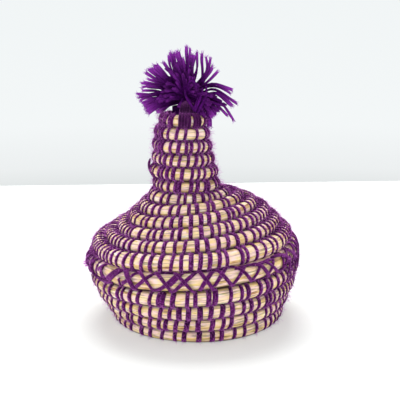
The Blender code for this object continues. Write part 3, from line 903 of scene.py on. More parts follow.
# %% [markdown]
# ## Straw bundles
#
# A bundle could be a smooth tube with a picture of straw on it, but its edge against the table and against
# the light shows separate stems. So the section has a lobe for each stem, and the bundle is drawn in
# wherever a stitch is pulled tight. The start is a flat grid, which already has a UV map. The grid is rolled
# up along the run, its long seam is merged and its two ends are closed. Turns that lie against each other
# swell towards the seam between them, so that no light comes through, and an attribute paints shade into
# the straw there: dark between turns, faint where the lid sits on the rim, and a painted contact shadow along
# the foot. The first turn swells towards the middle of the floor too, but leaves a small hole there.

# %% Roll a grid
SEAM_MERGE = 1e-6


def rolled_grid(name, steps, sides):
    """A grid of steps x sides faces, named and alone selected. Its X is the share along, its Y round."""
    bpy.ops.object.select_all(action="DESELECT")
    bpy.ops.mesh.primitive_grid_add(x_subdivisions=steps, y_subdivisions=sides, size=1)
    piece = bpy.context.object
    piece.name = name
    piece.data.name = name
    return piece


def read_places(mesh):
    found = np.empty(len(mesh.vertices) * 3)
    mesh.vertices.foreach_get("co", found)
    return found.reshape(-1, 3)


def write_places(mesh, places):
    mesh.vertices.foreach_set("co", np.asarray(places, np.float32).ravel())
    mesh.update()


def add_attribute(piece, name, values):
    """A number at each point, for the materials."""
    attribute = piece.data.attributes.new(name, "FLOAT", "POINT")
    attribute.data.foreach_set("value", np.asarray(values, np.float32).ravel())


def scale_uv(mesh, along, round_it):
    """Makes U count millimetres along and V count stems or turns round."""
    layer = mesh.uv_layers.active.data
    found = np.empty(len(layer) * 2, np.float32)
    layer.foreach_get("uv", found)
    found = found.reshape(-1, 2) * np.array([along, round_it], np.float32)
    layer.foreach_set("uv", found.ravel())


def close_tube(piece):
    """Merges the long edge where the grid meets itself, closes both ends and turns every face outwards."""
    bpy.ops.object.mode_set(mode="EDIT")
    bpy.ops.mesh.select_all(action="SELECT")
    bpy.ops.mesh.remove_doubles(threshold=SEAM_MERGE)
    bpy.ops.mesh.select_all(action="DESELECT")
    bpy.ops.mesh.select_mode(type="EDGE")
    bpy.ops.mesh.select_non_manifold()
    bpy.ops.mesh.fill_holes(sides=0)
    bpy.ops.mesh.select_all(action="SELECT")
    bpy.ops.mesh.normals_make_consistent(inside=False)
    bpy.ops.object.mode_set(mode="OBJECT")
    bpy.ops.object.shade_smooth()


def tube_model(name, cuts, sides):
    """A grid rolled into a straight closed tube along X, one long and one in radius."""
    model = rolled_grid(name, cuts, sides)
    flat = read_places(model.data)
    turned = np.rint((flat[:, 1] + 0.5) * sides) % sides * (math.tau / sides)
    write_places(model.data, np.stack([flat[:, 0] + 0.5, np.cos(turned), np.sin(turned)], axis=1))
    close_tube(model)
    print("one", name, "has", len(model.data.polygons), "faces")
    return model, read_places(model.data)


def sweep(run, ring, across, upwards):
    """Points off a run: ring is the step of each point, and the rest its reach out and up."""
    return (
        run["places"][ring]
        + run["out"][ring] * np.asarray(across)[:, None]
        + run["up"][ring] * np.asarray(upwards)[:, None]
    )


# %% Section of a straw bundle
STEMS = 18
SIDES_PER_STEM = 3
STEM_GROOVE = 0.08
STEM_UNEVEN = 0.045
UNEVEN_RATE = 90
UNEVEN_RATE_STEP = 17
UNEVEN_SHIFT = 2.4
PINCH_DEPTH = 0.0004
PINCH_WIDTH = 0.0012


def straw_section(run, ring, turned, drawn_in):
    """Radius of the bundle at a step and an angle: lobes for the stems, pinched by the stitches."""
    straw = run["straw"][ring]
    lobe = np.abs(np.sin(turned * STEMS / 2))
    stem = np.floor(turned * STEMS / math.tau).astype(int) % STEMS
    unevenness = np.sin(run["at"][ring] * (UNEVEN_RATE + UNEVEN_RATE_STEP * (stem % 5)) + stem * UNEVEN_SHIFT)
    radius = straw * (1 - STEM_GROOVE * (1 - lobe) + STEM_UNEVEN * unevenness * lobe)
    return radius - drawn_in[ring]


def pinches(run, at):
    """How far the nearest stitch draws the bundle in, at each step."""
    if len(at) == 0:
        return np.zeros(len(run["at"]))
    nearest = np.abs(run["at"][:, None] - at[None, :]).min(axis=1)
    return PINCH_DEPTH * np.exp(-((nearest / PINCH_WIDTH) ** 2))


# %% Turns that lie against each other
PASSED_TO_LAST = 0.7


def past_rim(name):
    """Whether the turn after each step is the rim of the other body."""
    return runs[name]["turn"] + 1 > len(STRETCHES[name][0](0.0)) - 1 + PASSED_TO_LAST


def beside(name, turns_on):
    """Angle in the section, from out towards up, at which the turn before or after lies, or none.

    After the last turn of the bowl comes the rim of the lid, and the other way round."""
    rings_at, _, _, place, body = STRETCHES[name]
    run = runs[name]
    found = np.full(len(run["at"]), np.nan)
    other = past_rim(name)
    for index, turn in enumerate(run["turn"]):
        angle = turn_angle(turn)
        if turns_on > 0 and other[index]:
            other_rings, other_place = (lid_rings, LID_PLACE) if body == "bowl" else (bowl_rings, BOWL_PLACE)
            radius, height, _ = other_rings(angle)[-1]
        elif turn + turns_on >= 0:
            radius, height, _ = coil_ring(rings_at, turn + turns_on)
            other_place = place
        else:
            continue
        there = np.array(other_place @ around(radius, angle, height))
        way = there - run["places"][index]
        found[index] = math.atan2(way @ run["up"][index], way @ run["out"][index])
    return found


def near_angle(turned, angle, spread, edge=2):
    """1 where an angle of the section points at another, falling to 0 round it. A big edge falls late."""
    off = np.angle(np.exp(1j * (turned - angle)))
    return np.nan_to_num(np.exp(-(np.abs(off / spread) ** edge)))


neighbours = {name: (beside(name, -1), beside(name, 1)) for name in STRETCHES}


def seam_share(name, step, turned, spread, edge, across=1.0):
    """1 where an angle of the section points at the turn before or after, falling to 0 round it.

    It is only as much as across where that turn is the rim of the other body."""
    before, after = neighbours[name]
    last = near_angle(turned, after[step], spread, edge) * np.where(past_rim(name)[step], across, 1.0)
    return np.maximum(near_angle(turned, before[step], spread, edge), last)


# %% Straw bundles
SEAM_SPREAD = 0.5
SEAM_EDGE = 4
SEAT_SHADE = 0.2
CONTACT_SPREAD = 0.3
CONTACT_SQUEEZE = 0.00015
HEART_SPREAD = 0.8
HEART_OVERLAP = 1.3
FOOT_CLEARANCE = 0.0004
FOOT_SHADE_HEIGHT = 0.0012


def add_straw(name):
    """Rolls a grid up along one stretch of coil."""
    run = runs[name]
    steps = len(run["at"]) - 1
    sides = STEMS * SIDES_PER_STEM
    piece = rolled_grid("straw_" + name, steps, sides)
    flat = read_places(piece.data)
    ring = np.rint((flat[:, 0] + 0.5) * steps).astype(int)
    turned = np.rint((flat[:, 1] + 0.5) * sides) % sides * (math.tau / sides)
    reach = straw_section(run, ring, turned, pinches(run, stitches[name]))
    touching = seam_share(name, ring, turned, CONTACT_SPREAD, SEAM_EDGE, across=0.0)
    reach += (run["straw"][ring] + YARN_BETWEEN_TURNS / 2 + CONTACT_SQUEEZE - reach) * touching
    if name == "bowl_floor_coil":
        heart = np.hypot(*(run["places"] - np.array(BOWL_PLACE.translation))[ring, :2].T)
        inwards = near_angle(turned, math.pi, HEART_SPREAD, SEAM_EDGE) * (heart < heart.min() + TIP_STRAW)
        reach += np.maximum(heart * HEART_OVERLAP - reach, 0) * inwards
    places = sweep(run, ring, reach * np.cos(turned), reach * np.sin(turned))
    places[:, 2] = np.maximum(places[:, 2], FOOT_CLEARANCE)
    write_places(piece.data, places)
    scale_uv(piece.data, run["at"][-1] * 1000, STEMS)
    # Painted shade where turns touch, faint where the lid sits, and a painted contact shadow along the foot.
    painted_shade = seam_share(name, ring, turned, SEAM_SPREAD, SEAM_EDGE, SEAT_SHADE)
    painted_shade += np.exp(-((places[:, 2] / FOOT_SHADE_HEIGHT) ** 2))
    add_attribute(piece, "painted_shade", np.minimum(painted_shade, 1.0))
    close_tube(piece)
    piece.data.materials.append(straw_material)
    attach(piece, STRETCHES[name][4])
    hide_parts(name)
    return piece


for name in STRETCHES:
    piece = add_straw(name)
    print(piece.name, "has", len(piece.data.polygons), "faces")

# %% [markdown]
# ## Stitches
#
# A stitch is one turn of yarn round the bundle, pressed flat and pulled into the turn before. It is
# modelled once, as a torus of few faces, because there are more than 800 of them. Each copy is bent to the
# size of its bundle and reaches a little way into the turn that it is sewn to.

# %% One stitch
STITCH_SEGMENTS = 12
STITCH_SIDES = 5
STITCH_MODEL_THICKNESS = 0.3
bpy.ops.object.select_all(action="DESELECT")
bpy.ops.mesh.primitive_torus_add(
    major_segments=STITCH_SEGMENTS, minor_segments=STITCH_SIDES, major_radius=1.0,
    minor_radius=STITCH_MODEL_THICKNESS,
)
stitch_model = bpy.context.object
stitch_model.name = "stitch_model"
stitch_shape = read_places(stitch_model.data)
stitch_round = np.arctan2(stitch_shape[:, 1], stitch_shape[:, 0])
stitch_side = np.arctan2(stitch_shape[:, 2], np.hypot(stitch_shape[:, 0], stitch_shape[:, 1]) - 1.0)
print("one stitch has", len(stitch_model.data.polygons), "faces")


# %% Many copies in one mesh
def read_model(item):
    """Faces and UV corners of a small model, to be copied many times."""
    mesh = item.data
    faces = [list(face.vertices) for face in mesh.polygons]
    corners = np.empty(len(mesh.uv_layers.active.data) * 2, np.float32)
    mesh.uv_layers.active.data.foreach_get("uv", corners)
    return faces, corners.reshape(-1, 2)


def add_copies(name, model, places, lengths, tips=None):
    """One piece from many copies of a model. places is (copies, points, 3), lengths are in metres."""
    faces, corners = read_model(model)
    copies, points, _ = places.shape
    loops = np.array([corner for face in faces for corner in face])
    sizes = np.array([len(face) for face in faces])
    mesh = bpy.data.meshes.new(name)
    mesh.vertices.add(copies * points)
    mesh.vertices.foreach_set("co", places.astype(np.float32).ravel())
    all_loops = (loops[None, :] + np.arange(copies)[:, None] * points).ravel()
    all_sizes = np.tile(sizes, copies)
    mesh.loops.add(len(all_loops))
    mesh.loops.foreach_set("vertex_index", all_loops.astype(np.int32))
    mesh.polygons.add(len(all_sizes))
    mesh.polygons.foreach_set("loop_start", np.concatenate([[0], np.cumsum(all_sizes)[:-1]]).astype(np.int32))
    mesh.polygons.foreach_set("loop_total", all_sizes.astype(np.int32))
    layer = mesh.uv_layers.new(name="UVMap")
    scaled = corners[None, :, :] * np.stack([np.asarray(lengths) * 1000, np.ones(copies)], axis=1)[:, None, :]
    layer.data.foreach_set("uv", scaled.astype(np.float32).ravel())
    mesh.update(calc_edges=True)
    mesh.validate()
    piece = bpy.data.objects.new(name, mesh)
    if tips is not None:
        add_attribute(piece, "tip", tips)
    bpy.context.scene.collection.objects.link(piece)
    bpy.ops.object.select_all(action="DESELECT")
    piece.select_set(True)
    bpy.context.view_layer.objects.active = piece
    bpy.ops.object.mode_set(mode="EDIT")
    bpy.ops.mesh.select_all(action="SELECT")
    bpy.ops.mesh.normals_make_consistent(inside=False)
    bpy.ops.object.mode_set(mode="OBJECT")
    bpy.ops.object.shade_smooth()
    return piece


# %% Places along a run
def at_distance(run, key, at):
    """A value of the run at distances along it."""
    values = run[key]
    if values.ndim == 1:
        return np.interp(at, run["at"], values)
    return points_at(at, run["at"], values)


def nearest_step(run, at):
    return np.clip(np.searchsorted(run["at"], at), 0, len(run["at"]) - 1)


# %% Sew every turn
YARN_WIDTH = 0.0027
WALL_YARN_WIDTH = 0.0032
YARN_THICKNESS = 0.0013
WIDTH_RANGE = (0.8, 1.2)
THICKNESS_RANGE = (0.9, 1.12)
STITCH_BITE = 0.0011
BITE_SPREAD = 0.6
LEAN_LEAST = 0.04
LEAN_MOST = 0.24
STITCH_SINK = 0.0001
STITCH_SHADE_SHARE = 0.8
STITCH_SEAM_SPREAD = 0.75
STITCH_SEAM_EDGE = 2


def add_stitches(name):
    """All stitches of one stretch, as copies of the one stitch."""
    run = runs[name]
    at = stitches[name]
    count = len(at)
    before, after = neighbours[name]
    step = nearest_step(run, at)
    towards = np.where(np.isnan(before[step]), after[step], before[step])[:, None]
    straw = at_distance(run, "straw", at)
    lean = chance.uniform(LEAN_LEAST, LEAN_MOST, count)
    usual = WALL_YARN_WIDTH if name == "bowl_wall_coil" else YARN_WIDTH
    wide = usual / 2 * chance.uniform(*WIDTH_RANGE, count)
    thick = YARN_THICKNESS / 2 * chance.uniform(*THICKNESS_RANGE, count)
    round_it = stitch_round[None, :]
    side = stitch_side[None, :]
    loop = (straw - STITCH_SINK)[:, None] + STITCH_BITE * near_angle(round_it, towards, BITE_SPREAD)
    reach = loop + thick[:, None] * np.cos(side)
    forward = lean[:, None] * loop * np.sin(round_it) + wide[:, None] * np.sin(side)
    middle = at_distance(run, "places", at)[:, None, :]
    out, up, ahead = (unit(at_distance(run, key, at))[:, None, :] for key in ("out", "up", "ahead"))
    places = (
        middle
        + out * (reach * np.cos(round_it))[..., None]
        + up * (reach * np.sin(round_it))[..., None]
        + ahead * forward[..., None]
    )
    places[..., 2] = np.maximum(places[..., 2], 0)
    piece = add_copies("stitches_" + name, stitch_model, places, math.tau * straw)
    # Painted shade: the yarn darkens where it passes into the seam against the turn before or after.
    painted_shade = seam_share(name, step[:, None], round_it, STITCH_SEAM_SPREAD, STITCH_SEAM_EDGE)
    add_attribute(piece, "painted_shade", STITCH_SHADE_SHARE * painted_shade)
    piece.data.materials.append(purple_wool)
    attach(piece, STRETCHES[name][4])
    return piece


sewing = {}
for name in STRETCHES:
    if len(stitches[name]) > 0:
        sewing[name] = add_stitches(name)
        print(sewing[name].name, "has", len(sewing[name].data.polygons), "faces")
bpy.data.objects.remove(stitch_model)

# %% [markdown]
# ## One strand of yarn
#
# All other yarn is laid as separate strands: the crosses on the rim, the tassel, its binding and the loose
# ends. A strand is modelled once, as a grid rolled into a straight tube, and each copy is laid along its own
# path with its flat side against what it lies on.

# %% Strand model
STRAND_CUTS = 14
STRAND_SIDES = 6
blank, straight = tube_model("strand_model", STRAND_CUTS, STRAND_SIDES)
strand_step = np.rint(straight[:, 0] * STRAND_CUTS).astype(int)
strand_turn = np.arctan2(straight[:, 2], straight[:, 1])


# %% Paths of strands
PATH_POINTS = 2 * STRAND_CUTS + 1
SMOOTHING = 12


def resample(points, count):
    """The same path as equally spaced points."""
    points = np.asarray(points, float)
    way = along_way(points)
    return points_at(np.linspace(0, way[-1], count), way, points)


def rounded(path, times):
    """The path with each point but the ends moved between its neighbours, a number of times."""
    for _ in range(times):
        path[1:-1] = (path[:-2] + 2 * path[1:-1] + path[2:]) / 4
    return path


def smoothed(points):
    """A bent line with its corners rounded off and its ends kept."""
    return rounded(resample(points, PATH_POINTS), SMOOTHING)


# %% Lay strands
def laid(path, facing, wide, thick, taper=((0, 1), (1, 1))):
    """The strand's points along a path. facing is where its flat side looks, for each point or for all."""
    facing = np.broadcast_to(np.asarray(facing, float), np.shape(path))
    way = along_way(path)
    facing = points_at(np.linspace(0, way[-1], STRAND_CUTS + 1), way, facing)
    places = resample(path, STRAND_CUTS + 1)
    ahead = unit(np.gradient(places, axis=0))
    facing = unit(facing - ahead * (facing * ahead).sum(axis=1, keepdims=True))
    side = np.cross(ahead, facing)
    size = np.interp(strand_step / STRAND_CUTS, *taper)
    return (
        places[strand_step]
        + side[strand_step] * (wide * size * np.cos(strand_turn))[:, None]
        + facing[strand_step] * (thick * size * np.sin(strand_turn))[:, None]
    )


def add_strands(name, body, node, strands, material, tips=None):
    """One piece from laid strands, which takes the place of a solid."""
    places = np.array(strands)
    lengths = np.linalg.norm(np.diff(places[:, :STRAND_CUTS], axis=1), axis=2).sum(axis=1)
    piece = add_copies(name, blank, places, lengths, tips)
    piece.data.materials.append(material)
    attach(piece, body)
    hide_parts(node)
    print(name, "has", len(strands), "strands and", len(piece.data.polygons), "faces")
    return piece


# %% [markdown]
# ## Crosses on the rim
#
# The thick rim is bound with slanting stitches, once in each direction, so that they cross. On the side that
# the photograph shows, each one runs between the points that were read off it. Round the back and on the
# inside they follow each other evenly. Their ends dip towards the seams above and below. They could be a
# pattern on the rim, but they stand proud of the straw, so each is a strand of its own.

# %% Crosses seen in the photograph
LEANING_LEFT = (
    ((91.4, 264.5), (93.2, 272), (97.5, 276.5), (103.5, 280), (110.4, 282)),
    ((101.8, 267.6), (103, 273), (106.5, 278.9)),
    ((119.3, 279), (122, 285.5)),
    ((125.4, 269.5), (127, 276), (130.6, 283), (135.6, 289.6)),
    ((126.8, 269.2), (128.6, 276), (132.2, 283), (137.2, 289.6)),
    ((139.3, 271.6), (144.6, 278.4), (154.6, 290.5)),
    ((155.8, 272.6), (165.4, 283.4), (173.2, 292)),
    ((174.6, 273.6), (184.6, 282.7), (194.6, 292)),
    ((197.5, 271), (206.8, 280.7), (214.6, 289.6)),
    ((214.8, 270.2), (221, 273.4), (232.5, 285.4)),
    ((228, 267.4), (234, 267.8), (240, 269.6), (245.2, 273.4), (251.6, 280.8)),
    ((251.8, 265), (258.4, 264.5), (262.6, 267), (267, 273.4), (269.6, 280), (272.4, 289.6)),
    ((262.6, 262.3), (269, 263.7), (274.5, 268.5), (279, 275), (280.4, 284)),
    ((272.6, 257.4), (281.8, 254.8), (287.4, 257), (289.4, 262), (288, 270)),
    ((287, 250.4), (293, 254), (295.4, 258)),
)
LEANING_RIGHT = (
    ((98, 269.5), (101.8, 266.3), (107, 264)),
    ((106.4, 278.6), (112.6, 272), (119.5, 268.4)),
    ((107.6, 279.6), (114, 273.2), (121.5, 269)),
    ((109, 280.6), (115.4, 274.6), (123.5, 270)),
    ((122, 283.4), (127.4, 280.4)),
    ((131, 276.4), (135, 273.8), (141, 272)),
    ((133.6, 288.6), (146.8, 277.8), (154.5, 273.4)),
    ((155, 290.4), (160, 289.4), (165, 286.2), (171, 280.6), (178.4, 273.6)),
    ((169.4, 286), (176, 280), (182.6, 273.4)),
    ((173, 292), (184.6, 282), (197.6, 271.2)),
    ((199.4, 290.6), (206, 280.4), (213.2, 270.6)),
    ((214.4, 286.4), (221.8, 274.3), (227.6, 266)),
    ((232.5, 285), (239.6, 275.7), (245.4, 265)),
    ((251.6, 280.6), (257.4, 272.8), (260, 266)),
    ((252.5, 283), (258.6, 282), (264, 278.4), (270.6, 270.4), (273.6, 263), (272.6, 257.4)),
    ((277, 280.4), (282, 271.4), (283.6, 263), (282.4, 256)),
    ((283.4, 278.4), (285.4, 271.4), (289.4, 266), (290.6, 256)),
    ((127.5, 269.4), (134, 270.6), (141, 272)),
    ((154.5, 273), (165, 273.2), (176.5, 273.4)),
    ((180.5, 272.8), (189, 272), (198, 271.2)),
    ((197, 271.6), (206, 270.8), (215.5, 270)),
    ((214, 270.2), (221, 269.6), (228.5, 267)),
    ((236, 268.2), (244, 266.4), (253, 264.6)),
    ((258, 264.2), (264, 262.2), (271, 259)),
)

# %% Face of the rim
SPAN_SECTIONS = 7
RIM_SAMPLES = 13
RIM_SMOOTHING = 3
RIM_GRID_LIFT = 0.0005
rim_angles = np.radians(np.arange(-200, 21, 0.25))
rim_slopes = np.radians(np.arange(-85, 110, 1.5))


@functools.lru_cache(maxsize=None)
def rim_section(angle):
    """The rim's middle at one angle, and the round sections that yarn is drawn over there.

    Round the back one bundle ends while the next one takes its place, and the yarn spans them both."""
    settled = bowl_rings(angle)
    share = climb_share((angle - turn_angle(0)) / math.tau)
    if share == 0:
        return settled[-1], (settled[-1],)
    passing = bowl_rings(angle, share)[-1]
    ending = tucked_ring(settled[-1], settled[-2], passing)
    if ending[2] < TIP_STRAW:
        return settled[-1], (passing,)
    shares = np.linspace(0, 1, SPAN_SECTIONS)
    return settled[-1], tuple(tuple(lerp(*pair, part) for pair in zip(passing, ending)) for part in shares)


def rim_face(angle, slope, lift):
    """A point on the bowl's rim, lifted off its straw, and the way the straw looks there."""
    (radius, height, _), sections = rim_section(angle)
    reach = 0.0
    for section_radius, section_height, straw in sections:
        off = (section_radius - radius, section_height - height)
        towards = off[0] * math.cos(slope) + off[1] * math.sin(slope)
        inside = towards**2 - off[0] ** 2 - off[1] ** 2 + straw**2
        if inside >= 0:
            reach = max(reach, towards + math.sqrt(inside))
    facing = np.array([math.cos(slope) * math.cos(angle), math.cos(slope) * math.sin(angle), math.sin(slope)])
    return np.array(BOWL_PLACE @ around(radius, angle, height)) + facing * (reach + lift), facing


rim_grid = [[rim_face(angle, slope, RIM_GRID_LIFT) for slope in rim_slopes] for angle in rim_angles]
rim_points = np.array([[point for point, _ in row] for row in rim_grid])
rim_facing = np.array([[facing for _, facing in row] for row in rim_grid])
rim_pixels = pixels_of(rim_points)
rim_hidden = ((np.array(CAMERA_PLACE) - rim_points) * rim_facing).sum(axis=2) <= 0


def rim_place(across, down):
    """(angle, slope) of the rim's face that shows at a pixel."""
    away = np.linalg.norm(rim_pixels - (across, down), axis=2) + rim_hidden * PICTURE_SIZE
    row, column = np.unravel_index(np.argmin(away), away.shape)
    return rim_angles[row], rim_slopes[column]


def rim_places(pixels):
    """Places on the rim's face along a line that is straight in the picture."""
    line = resample([(*pixel, 0) for pixel in pixels], RIM_SAMPLES)
    return rounded(np.array([rim_place(across, down) for across, down, _ in line]), RIM_SMOOTHING)


# %% One strand of the crosses
LACING_WIDE = 0.0012
LACING_THICK = 0.0006
LACING_WIDTH_RANGE = (0.85, 1.15)
LACING_OVERRUN = 0.07
LACING_END_DIP = 0.0014
LACING_DIP_EDGE = 8
LACING_ENDS = ((0, 0.1, 0.9, 1.0), (0.7, 1.0, 1.0, 0.7))
# Painted shade by slope: crosses darken under the lid's rim and in the seam below the rim.
LACING_SHADE = ((-60, -42, 52, 74, 110, 135), (0.55, 0, 0, 0.75, 0.75, 0))


def lacing_strand(corners, lift, back_lift=0.0):
    """A strand laid over the rim between (angle, slope) corners, its ends in the seams, and its painted
    shade.
    """
    corners = np.array(corners)
    overrun = (corners[-1] - corners[0]) * LACING_OVERRUN
    corners = np.vstack([corners[0] - overrun, corners, corners[-1] + overrun])
    shares = np.linspace(0, 1, PATH_POINTS)
    at = along_way(corners * (RIM_RADIUS, RIM_STRAW))
    at = at / at[-1]
    angles = np.interp(shares, at, corners[:, 0])
    slopes = np.interp(shares, at, corners[:, 1])
    rise = lift - LACING_END_DIP * (2 * np.abs(shares - 0.5)) ** LACING_DIP_EDGE + back_lift
    found = [rim_face(*place) for place in zip(angles, slopes, rise)]
    wide = LACING_WIDE * chance.uniform(*LACING_WIDTH_RANGE)
    shade = np.interp(np.degrees(np.interp(strand_step / STRAND_CUTS, shares, slopes)), *LACING_SHADE)
    points, facings = zip(*found)
    return laid(points, facings, wide, LACING_THICK, LACING_ENDS), shade


# %% Crosses on the rim
LACING_LIFTS = {"rim_lacing_under": 0.0007, "rim_lacing_over": 0.0014}
LACING_LOW = math.radians(-53.0)
LACING_HIGH = math.radians(84.0)
LACING_PLACE_RANGE = (0.35, 0.65)
LACING_BACK_COUNT = 27
LACING_BACK_SPAN = 0.175
LACING_BACK_RISE = math.radians(38.0)
LACING_BACK_LIFT = 0.0006
BACK_START = math.radians(-37)
BACK_END = math.radians(204)
LACING_INSIDE_COUNT = 38
LACING_INSIDE_HIGH = math.radians(136)
LACING_INSIDE_LOW = math.radians(232)

lacing = {node: [] for node in LACING_LIFTS}
for node, rows in (("rim_lacing_over", LEANING_LEFT), ("rim_lacing_under", LEANING_RIGHT)):
    lift = LACING_LIFTS[node]
    for row in rows:
        lacing[node].append(lacing_strand(rim_places(row), lift))
    for number in range(LACING_BACK_COUNT):
        angle = lerp(BACK_START, BACK_END, (number + chance.uniform(*LACING_PLACE_RANGE)) / LACING_BACK_COUNT)
        share = climb_share((angle - turn_angle(0)) / math.tau)
        low = LACING_LOW + LACING_BACK_RISE * 4 * share * (1 - share)
        half = LACING_BACK_SPAN / 2 * (1 if node == "rim_lacing_over" else -1)
        corners = ((angle + half, LACING_HIGH), (angle - half, low))
        lacing[node].append(lacing_strand(corners, lift, LACING_BACK_LIFT * math.sin(math.pi * share)))
    for number in range(LACING_INSIDE_COUNT):
        angle = math.tau * (number + chance.uniform(*LACING_PLACE_RANGE)) / LACING_INSIDE_COUNT
        corners = ((angle + half, LACING_INSIDE_HIGH), (angle - half, LACING_INSIDE_LOW))
        lacing[node].append(lacing_strand(corners, lift))
    lines, shades = zip(*lacing[node])
    piece = add_strands("crosses_" + node, "bowl", node, lines, purple_wool)
    add_attribute(piece, "painted_shade", np.concatenate(shades))

# %% [markdown]
# ## Tassel
#
# The tassel is a bunch of cut yarn that is tied at its middle, so its strands spring up and out like a
# fountain and bend over with their weight. The strands that show against the wall follow the photograph, tip
# by tip. The others fill the space between and behind them, no longer than the ones that show. The cut
# ends are frayed, and one loop in front was never cut. Below, the bound strands pass down through the crown
# as a stalk, and a knot inside the neck stops them. The photograph doesn't show the stalk and the knot. A
# hair system could make the tassel, but the tips that show have to be where the photograph has them, so the
# strands are laid one by one.

# %% Tassel locks seen in the photograph
TASSEL_SEEN = (
    (4, (168.6, 55.4), (170.5, 63.3), (173, 72)),
    (6, (172.2, 52.6), (174, 63.3), (175.7, 72)),
    (5.5, (177, 51.4), (179.3, 59.8), (181.9, 70.4)),
    (3, (182.4, 58), (183.7, 64), (184.5, 72)),
    (4.5, (186.7, 46.9), (186.3, 52.8), (187.6, 60.7), (188, 70.4)),
    (3, (190.6, 48.8), (189.8, 54.5), (188.5, 62.4)),
    (6, (193.8, 54.8), (192.5, 60.5), (191.6, 67)),
    (3.5, (197.3, 52.6), (196.9, 59.8), (197.3, 69.5)),
    (3, (202.1, 53), (201.4, 59.8), (202.1, 67.7), (203.5, 75.7), (202, 82)),
    (2.4, (205.8, 57), (207.4, 62.4), (208.8, 66), (207.4, 72)),
    (3, (210.2, 57.6), (209.6, 62.4), (208.8, 66.8), (206.5, 74), (203.9, 80)),
    (2.4, (212.7, 66.6), (211, 70.4), (207.4, 75.7), (204.8, 80)),
    (3, (217.4, 72.3), (214.5, 75.7), (210, 80), (205.7, 83.6)),
    (3.5, (232.4, 90.4), (227.7, 88.9), (221.5, 86.2), (216.2, 83.1), (211, 82.7), (205.7, 84.9)),
    (3.5, (230.3, 93.3), (223.3, 89.7), (217.1, 86.2), (209.2, 85.3), (203.9, 87.1)),
    (3.5, (236.7, 103.6), (230.3, 99.4), (224.2, 94.1), (218, 89.7), (211.8, 87.1)),
    (4, (232.1, 106.2), (226.8, 101.2), (221.5, 95.9), (214.5, 90.6)),
    (2.6, (233.6, 120.3), (230.3, 114.4), (225.9, 107.3), (222.4, 102.9), (217.1, 97.7)),
    (2.5, (226.6, 115), (223.3, 111.8), (218, 106), (212, 99)),
    (5, (216.7, 111.8), (213.6, 107.3), (209, 101)),
    (5, (213, 117), (210, 113), (207.4, 108), (204, 102)),
    (5, (209.4, 127), (209.2, 119), (207, 110), (203, 103)),
    (4, (163.6, 62), (165.2, 65.1), (169.6, 70.4)),
    (5, (156.4, 65.5), (159.9, 69.5), (164.3, 73.9)),
    (5, (152.9, 67.6), (157.3, 72.1), (163.4, 76.5)),
    (4, (148.9, 69.3), (153.7, 73), (159, 76.5)),
    (3, (144.9, 72.8), (150.2, 76.5), (156.4, 79.2), (162.5, 80.9)),
    (3, (147.6, 79.2), (152.9, 80), (159, 81.8)),
    (4.5, (142.8, 82.7), (147.6, 82.7), (154.6, 84.5)),
    (4, (142.4, 87.1), (148.5, 86.2), (154.6, 86.2)),
    (3, (142.3, 90.3), (147.6, 90), (152.9, 89.7)),
    (2.4, (136.8, 94.2), (142, 94.6), (149.3, 93.3)),
    (2.4, (138, 98), (143, 95.6), (150, 94)),
    (2.4, (141.2, 100), (145, 96.6), (150.5, 94.5)),
    (3, (146.7, 98.5), (152, 98.5), (157.3, 97.7)),
    (4, (143.2, 104.7), (147.6, 102.1), (152.9, 100.3)),
    (8, (145.2, 109.4), (150.2, 106.6), (156.4, 103.6), (163.4, 101.2)),
    (5, (147.6, 112.6), (152.9, 109.6), (159, 106.2)),
    (4, (156.4, 111.6), (160.8, 108.6), (165.2, 105.8)),
    (3, (159.9, 112.6), (164.3, 108.6), (169.6, 105)),
)
TASSEL_FRONT = (
    (4, (205, 117), (201, 108), (197, 100)),
    (4, (199, 116), (196.5, 107), (194, 98)),
    (4, (190, 115), (189.5, 107), (188, 97)),
    (4, (182, 115), (182.5, 107), (184, 97)),
    (3, (178.5, 108), (180.5, 103), (184, 96)),
    (4, (172, 88), (178, 92)),
    (4, (176, 80), (181, 88)),
    (4, (183, 75), (185, 86)),
    (4, (192, 77), (190, 88)),
    (4, (203, 116), (200.5, 109), (196, 101)),
    (4, (206, 94), (198, 94)),
    (4, (168, 98), (178, 98)),
    (4, (174, 74), (179, 84)),
    (4, (166, 90), (175, 93)),
)
TASSEL_REACH = (
    (-40, 18), (-33, 30), (-26, 38), (-8, 41), (6, 38), (14, 27), (25, 20), (60, 22), (74, 30), (80, 38),
    (92, 42), (105, 44), (115, 42), (127, 38), (135, 43), (150, 45), (165, 44), (185, 43), (198, 40),
)
TASSEL_LOOP = (
    ((184.6, 88), (185.4, 95), (188.4, 101.2), (192, 106.2), (195.4, 112)),
    ((202.6, 88), (202, 94), (199.6, 100.4), (197, 106), (194.4, 112)),
    ((199.4, 92), (198.6, 98), (196.4, 103.6), (194.8, 108), (194.6, 112)),
    ((206, 86), (206.8, 93), (204.4, 101), (200.4, 107), (197.6, 113)),
    ((187.4, 90), (188.6, 83), (191.4, 79.6), (194.6, 82), (197, 88)),
)
TASSEL_MIDDLE = (187, 98)
TASSEL_ROOT = (187, 110)

# %% One lock of the tassel
PLY_RADIUS = 0.00072
PLY_PIXELS = 2.4
PLY_SPREAD = (1.0, 0.9, 0.75, 0.6, 0.5, 0.4)
STALK_SPREAD = 6.0
MIDDLE_SPREAD = 6.0
KNOB_RISE = 0.0050
TIP_DEPTH_EASE = 1.5
SWAY_RANGE = (0.0003, 0.0010)
SWAY_WAVES = (5, 11)
SWAY_STARTS = (0, 6)
RADIUS_RANGE = (0.85, 1.15)
FLATTENING = 0.9
WIDENING_RANGE = (1.0, 1.25)
STRAND_SPACING = 0.7
TIP_SHORTENING = (-1.4, 0.2)
TIP_DEPTH_JITTER = (-0.001, 0.001)
STRAND_ENDS = ((0, 0.2, 0.7, 0.93, 1.0), (0.8, 0.95, 1.0, 1.15, 1.0))

